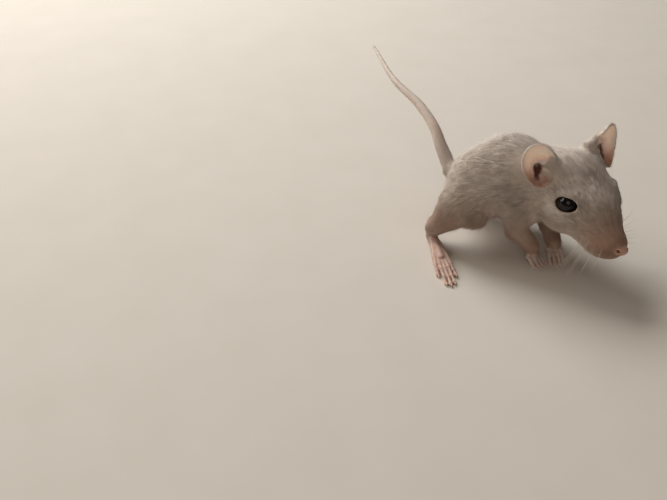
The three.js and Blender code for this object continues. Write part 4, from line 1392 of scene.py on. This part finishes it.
drawn_out = root - 0.7 * lie * dot_rows(lie, from_middle)[:, None]
streak = locks(drawn_out, TUFT["streak"])[1]
shade = 0.2 * rng.random(count) + 0.3 * streak + 0.3 * chance + 0.42 * value_noise(root, 7, 3) - 0.08
# On the lower flank and thighs the tufts are darker: painted shade where less light reaches.
shade -= 0.3 * (1 - ramp(root[:, 2], 10, 22)) * ramp(root[:, 2], 4, 10)
made, facing = blades(root, out, lie, length, width, lift, droop, lean)
for vertices, share in (((1, 2, 3), BEND), ((4,), 1.0)):
    depth_in = 0.25 * share - in_parts(furred_field, made[:, vertices[0]])
    made[:, vertices] += (out * np.clip(depth_in, 0, 1.6)[:, None])[:, None, :]
clear = np.ones(count, bool)
for part in EARS.values():
    near = length_of(root - part["centre"]) < part["reach"] + 4
    for vertex in (0, 3, 4):
        clear[near] &= part["field"](made[near, vertex]) > 0.12
for side, eyeball in EYEBALLS.items():
    near = length_of(root - eyeball) < 6
    for vertex in (3, 4):
        clear[near] &= eye_opening(side)(made[near, vertex]) > 0.1
hairs = {
    "root": root,
    "blades": made,
    "normals": facing,
    "shade": np.clip(shade, 0, 1),
    "pale": values["pale"],
    "warm": values["warm"],
}
print("tuft lengths in mm:", np.percentile(length, [5, 50, 95]).round(2))

# %% [markdown]
# The coat is kept in pieces, one for each part of the body and side, so that none is too heavy. Each
# piece is unwrapped round its own part: the trunk round the spine, the head round its long axis.

# %% The pieces of the coat
SPINE_LINE = (TAIL_ROOT, CHEST + at(8, 2, 0))
HEAD_LINE = (in_head(-4, 0, 0), in_head(31, 0, -2))
COAT_LINES = {"rump": SPINE_LINE, "back": SPINE_LINE, "chest": SPINE_LINE, "neck": SPINE_LINE,
              "head": HEAD_LINE, "face": HEAD_LINE}
for side in SIDES:
    leg, arm = LEGS[side], ARMS[side]
    COAT_LINES[f"thigh_{side}"] = (leg["hip"] + at(0, 0, 4), leg["ankle"])
    COAT_LINES[f"shank_{side}"] = (leg["knee"], leg["ankle"])
    COAT_LINES[f"arm_{side}"] = (arm["shoulder"] + at(0, 0, 4), arm["wrist"])
groups = np.array([piece["group"] for piece in BODY])[owner]
FACE_FROM = 13.5
groups[(groups == "head") & (from_head_back(root) > FACE_FROM)] = "face"
head_side = (root - HEAD_BACK) @ HEAD_AXES[:, 1] > 0
trunk_side = root[:, 1] > 0
total = 0
for group, line in COAT_LINES.items():
    inside = (groups == group) & clear
    if group in ("head", "face"):
        halves = {"right": inside & ~head_side, "left": inside & head_side}
    elif group in ("rump", "back", "chest", "neck"):
        halves = {"right": inside & ~trunk_side, "left": inside & trunk_side}
    else:
        halves = {"": inside}
    for half, chosen in halves.items():
        if not chosen.any():
            continue
        name = f"coat_{group}_{half}".rstrip("_")
        made = coat_piece(name, hairs, chosen, line)
        print(name, made)
        total += made
print("coat triangles:", total)

# %% [markdown]
# ## Down on the ears, the paws and the tail
# These look bare from a step away, but each has down of its own: a pale fringe at the ear's rim,
# short hairs along the toes, and longer ones towards the end of the tail. A noisy bump could hint at
# it, but only real blades catch the light along the rim. They are made as the tufts are, only finer.


# %% Down
def down_zone(zones, points):
    near_ear = (zones["ears"] < zones["body"]) & (zones["ears"] < 1)
    near_tail = (zones["tail"] < zones["body"] - 0.1) & (zones["tail"] < 1)
    near_paw = (zones["paws"] < zones["body"]) & (zones["paws"] < 1) & (points[:, 2] > 0.6)
    return near_ear, near_tail, near_paw


def ear_frame(points):
    """Up along the ear, how far out on the bowl, and whether the point is on its back."""
    up_way, reach, behind = np.zeros_like(points), np.zeros(len(points)), np.zeros(len(points), bool)
    for side, sign in SIDES.items():
        centre, axes = ear_axes(side)
        near = length_of(points - centre) < EAR_ZONE
        q = (points[near] - centre) @ axes
        ring, up = ear_reach(q)
        reach[near] = ring
        behind[near] = q[:, 2] < bowl_height(q, ring, up, sign) - EAR["wall"] / 2
        ways = np.stack([q[:, 0] * 0.5, q[:, 1] + 2.0, np.zeros(len(q))], axis=1) @ axes.T
        up_way[near] = to_units(ways)
    return up_way, reach, behind


zones = {key: skin_zones[key][skin_faces].mean(axis=1) for key in ("body", "ears", "tail", "paws", "along")}
near_ear, near_tail, near_paw = down_zone(zones, face_middle)
_, ear_ring, ear_back = ear_frame(face_middle)
down_density = np.zeros(len(face_middle))
DOWN = {"back of ear": 34, "rim": 60, "cup": 5, "tail": 26, "tail root": 30, "paw": 22, "wrist": 50}
on_front = np.where(ear_ring > 0.9, DOWN["rim"], DOWN["cup"])
down_density[near_ear] = np.where(ear_back, DOWN["back of ear"], on_front)[near_ear]
tail_root = 1 - ramp(zones["along"], 0.0, 0.3)
down_density[near_tail] = (DOWN["tail"] + DOWN["tail root"] * tail_root)[near_tail]
paw_root = np.zeros(len(face_middle))
for paw in PAWS.values():
    paw_root = np.maximum(paw_root, 1 - ramp(length_of(face_middle - paw["start"]), 1.0, 6.5))
down_density[near_paw] = (DOWN["paw"] + DOWN["wrist"] * paw_root)[near_paw]
root, out = scatter(skin_points, skin_out, skin_faces, down_density)
zones = zone_distances(root)
near_ear, near_tail, near_paw = down_zone(zones, root)
up_way, ear_ring, ear_back = ear_frame(root)
lie = np.tile(at(-0.3, 0, -0.9), (len(root), 1))
lie[near_ear] = up_way[near_ear]
lie[near_tail] = zones["way"][near_tail]
for paw in PAWS.values():
    rows = near_paw & (length_of(root - paw["centre"]) < paw["reach"])
    lie[rows] = paw["lie"]
lie = to_units(lay_flat(lie, out))
count = len(root)
length = np.full(count, 0.6)
length[near_ear] = np.where(ear_ring > 0.88, 0.6, 0.4)[near_ear]
to_tip = ramp(zones["along"], 0.6, 1.0)
length[near_tail] = 0.9 + (0.5 * to_tip + 0.8 * (1 - ramp(zones["along"], 0, 0.3)))[near_tail]
length *= rng.uniform(0.7, 1.25, count)
width = np.where(near_tail, 0.045, 0.035)
lift = np.radians(rng.normal(10, 4, count))
lift[near_tail] *= 1 - 0.6 * to_tip[near_tail]
swing = rng.normal(0, 0.2, count)[:, None]
lie = lie + np.cross(out, lie) * swing
made, facing = blades(root, out, lie, length, width, lift, np.full(count, 0.1), np.zeros_like(root))
down = {
    "root": root,
    "blades": made,
    "normals": facing,
    "shade": rng.uniform(0.5, 1.0, count),
    "pale": np.full(count, 0.8),
    "warm": np.where(near_paw, 0.6, 0.15),
}
for side in SIDES:
    centre, axes = ear_axes(side)
    chosen = near_ear & (length_of(root - centre) < EAR_ZONE)
    line = (centre - axes[:, 2] * 4, centre + axes[:, 2] * 4)
    print(f"down_ear_{side}", coat_piece(f"down_ear_{side}", down, chosen, line))
line = (TAIL_PATH[0], TAIL_PATH[-1])
print("down_tail", coat_piece("down_tail", down, near_tail & ~near_ear, line))
for name, paw in PAWS.items():
    chosen = near_paw & (length_of(root - paw["centre"]) < paw["reach"])
    line = (paw["start"], paw["start"] + paw["lie"] * paw["reach"])
    coat_piece(f"down_{name}", down, chosen, line)

# %% [markdown]
# ## Whiskers
# Some sixteen whiskers grow in rows on each pad, the longest at the back, and two short ones stand
# over each eye. They spring from the skin and bend back and down. Tapered tubes of five sides are
# enough for something so thin, drawn twice as thick as life so that they show.


# %% Whiskers
def whisker(root, way, droop_way, size, radius):
    line = [root + unit(way) * size * s + droop_way * size * 0.3 * s ** 2 for s in WHISKER_SHARES]
    return tube(line, [radius * (1 - 0.85 * s) for s in WHISKER_SHARES], WHISKER_SIDES)


WHISKER_SHARES = np.linspace(0, 1, 7)
WHISKER_SIDES = 5
WHISKER_WAY = {"right": at(0.55, -0.55, -0.65), "left": at(0.2, 0.9, 0.0)}
whiskers = []
for side, sign in SIDES.items():
    for row in range(4):
        for column in range(4):
            place = in_head(20.6 + 1.5 * column, (3.7 - 0.42 * column) * sign, -5.6 + 1.05 * row)
            start = pull(furred_field, [place], -0.2)[0]
            fan = at(0.16 * column - 0.24, 0, 0.2 * row - 0.3)
            way = HEAD_AXES @ (WHISKER_WAY[side] + fan)
            size = (9.5 - 1.6 * column) * rng.uniform(0.85, 1.1)
            whiskers.append(whisker(start, way, head_way(-0.7, 0, -0.5), size, 0.05))
    for n in range(2):
        start = pull(furred_field, [in_head(12.5 + n, 5.2 * sign, 6.0)], -0.2)[0]
        whiskers.append(whisker(start, head_way(-0.3, 0.5 * sign, 0.9), head_way(-1, 0, 0), 5.0, 0.035))
whisker_points, whisker_faces = join(whiskers)
whisker_points[:, 2] = np.maximum(whisker_points[:, 2], 0.15)
whisker_tip = np.tile(np.repeat(WHISKER_SHARES, WHISKER_SIDES), len(whiskers))
make_piece("whiskers", whisker_points, whisker_faces, WHISKER, {"tip": whisker_tip})
print("whiskers:", len(whiskers))

# %% [markdown]
# ## Floor, light and camera
# A pale matt floor, such as painted board, shows the form and throws soft light up under the belly.
# Its grain is coarser than real brush marks, so that it doesn't flicker at this size.

# %% The floor
floor_material, tree = new_material("pale_matt_board")
grain = add(tree, "ShaderNodeTexNoise", {"Scale": 60.0, "Detail": 2.0},
            {"Vector": add(tree, "ShaderNodeTexCoord").outputs["Object"]})
board = blend_colours(tree, grain.outputs[0], "#cfc9c0", "#d6d0c8")
finish_material(tree, add(tree, "ShaderNodeBsdfPrincipled", {"Roughness": 0.85}, {"Base Color": board}))
floor_mesh = bpy.data.meshes.new("floor")
floor_mesh.from_pydata([(-2, -2, 0), (2, -2, 0), (2, 2, 0), (-2, 2, 0)], [], [(0, 1, 2, 3)])
floor_mesh.materials.append(floor_material)
floor = bpy.data.objects.new("floor", floor_mesh)
bpy.context.scene.collection.objects.link(floor)

# %% [markdown]
# Daylight falls from a window behind the animal and to its left, and from a lower one beside it, so
# the back is light, the near flank is darker and the ears glow; painted shade low on the coat and
# painted light on the ears add to this. A weak, warm lamp on the near side stands for the light that
# a room throws back. Discs give round, soft highlights in the eyes.

# %% The lamps
LAMP_TARGET = (0.02, 0, 0.02)


def lamp(name, place, size, watts, colour):
    data = bpy.data.lights.new(name, "AREA")
    data.shape = "DISK"
    data.size = size
    data.energy = watts
    data.color = linear(colour)[:3]
    thing = bpy.data.objects.new(name, data)
    thing.location = place
    thing.rotation_euler = (Vector(LAMP_TARGET) - Vector(place)).to_track_quat("-Z", "Y").to_euler()
    bpy.context.scene.collection.objects.link(thing)


lamp("window", (-0.45, 0.25, 0.5), 0.4, 4.2, "#fffdf9")
lamp("second_window", (-0.6, -0.1, 0.3), 0.45, 1.9, "#fff8ee")
lamp("fill", (0.16, -0.56, 0.42), 0.5, 0.7, "#ffe9d6")
world = bpy.data.worlds.new("soft_room")
world.use_nodes = True
backdrop = world.node_tree.nodes["Background"]
backdrop.inputs["Color"].default_value = linear("#efe3d5")
backdrop.inputs["Strength"].default_value = 0.12
bpy.context.scene.world = world
bpy.context.scene.view_settings.view_transform = "Standard"
print("lamps:", len(bpy.data.lights))

# %% [markdown]
# The camera's place comes from the picture's perspective: it looks down by 38 degrees from about 0.2
# metres away, and was then moved until eyes, ears, feet and tail fell where the picture has them.

# %% The camera
CAMERA_PLACE = at(47.7, -159.3, 120.0)
CAMERA_WAY = at(-0.429, 0.661, -0.616)
CAMERA_RIGHT = at(0.839, 0.545, 0)
VIEW_ANGLE = 50.0
camera_data = bpy.data.cameras.new("camera")
camera_data.sensor_fit = "HORIZONTAL"
camera_data.angle = math.radians(VIEW_ANGLE)
camera_data.clip_start = 0.005
camera = bpy.data.objects.new("camera", camera_data)
back = -unit(CAMERA_WAY)
right = unit(CAMERA_RIGHT - back * (CAMERA_RIGHT @ back))
axes = np.stack([right, np.cross(back, right), back], axis=1)
camera.rotation_mode = "QUATERNION"
camera.rotation_quaternion = Matrix(axes.tolist()).to_quaternion()
camera.location = (CAMERA_PLACE + SHIFT) * MM
bpy.context.scene.collection.objects.link(camera)
bpy.context.scene.camera = camera
print("camera at", [round(v, 4) for v in camera.location])
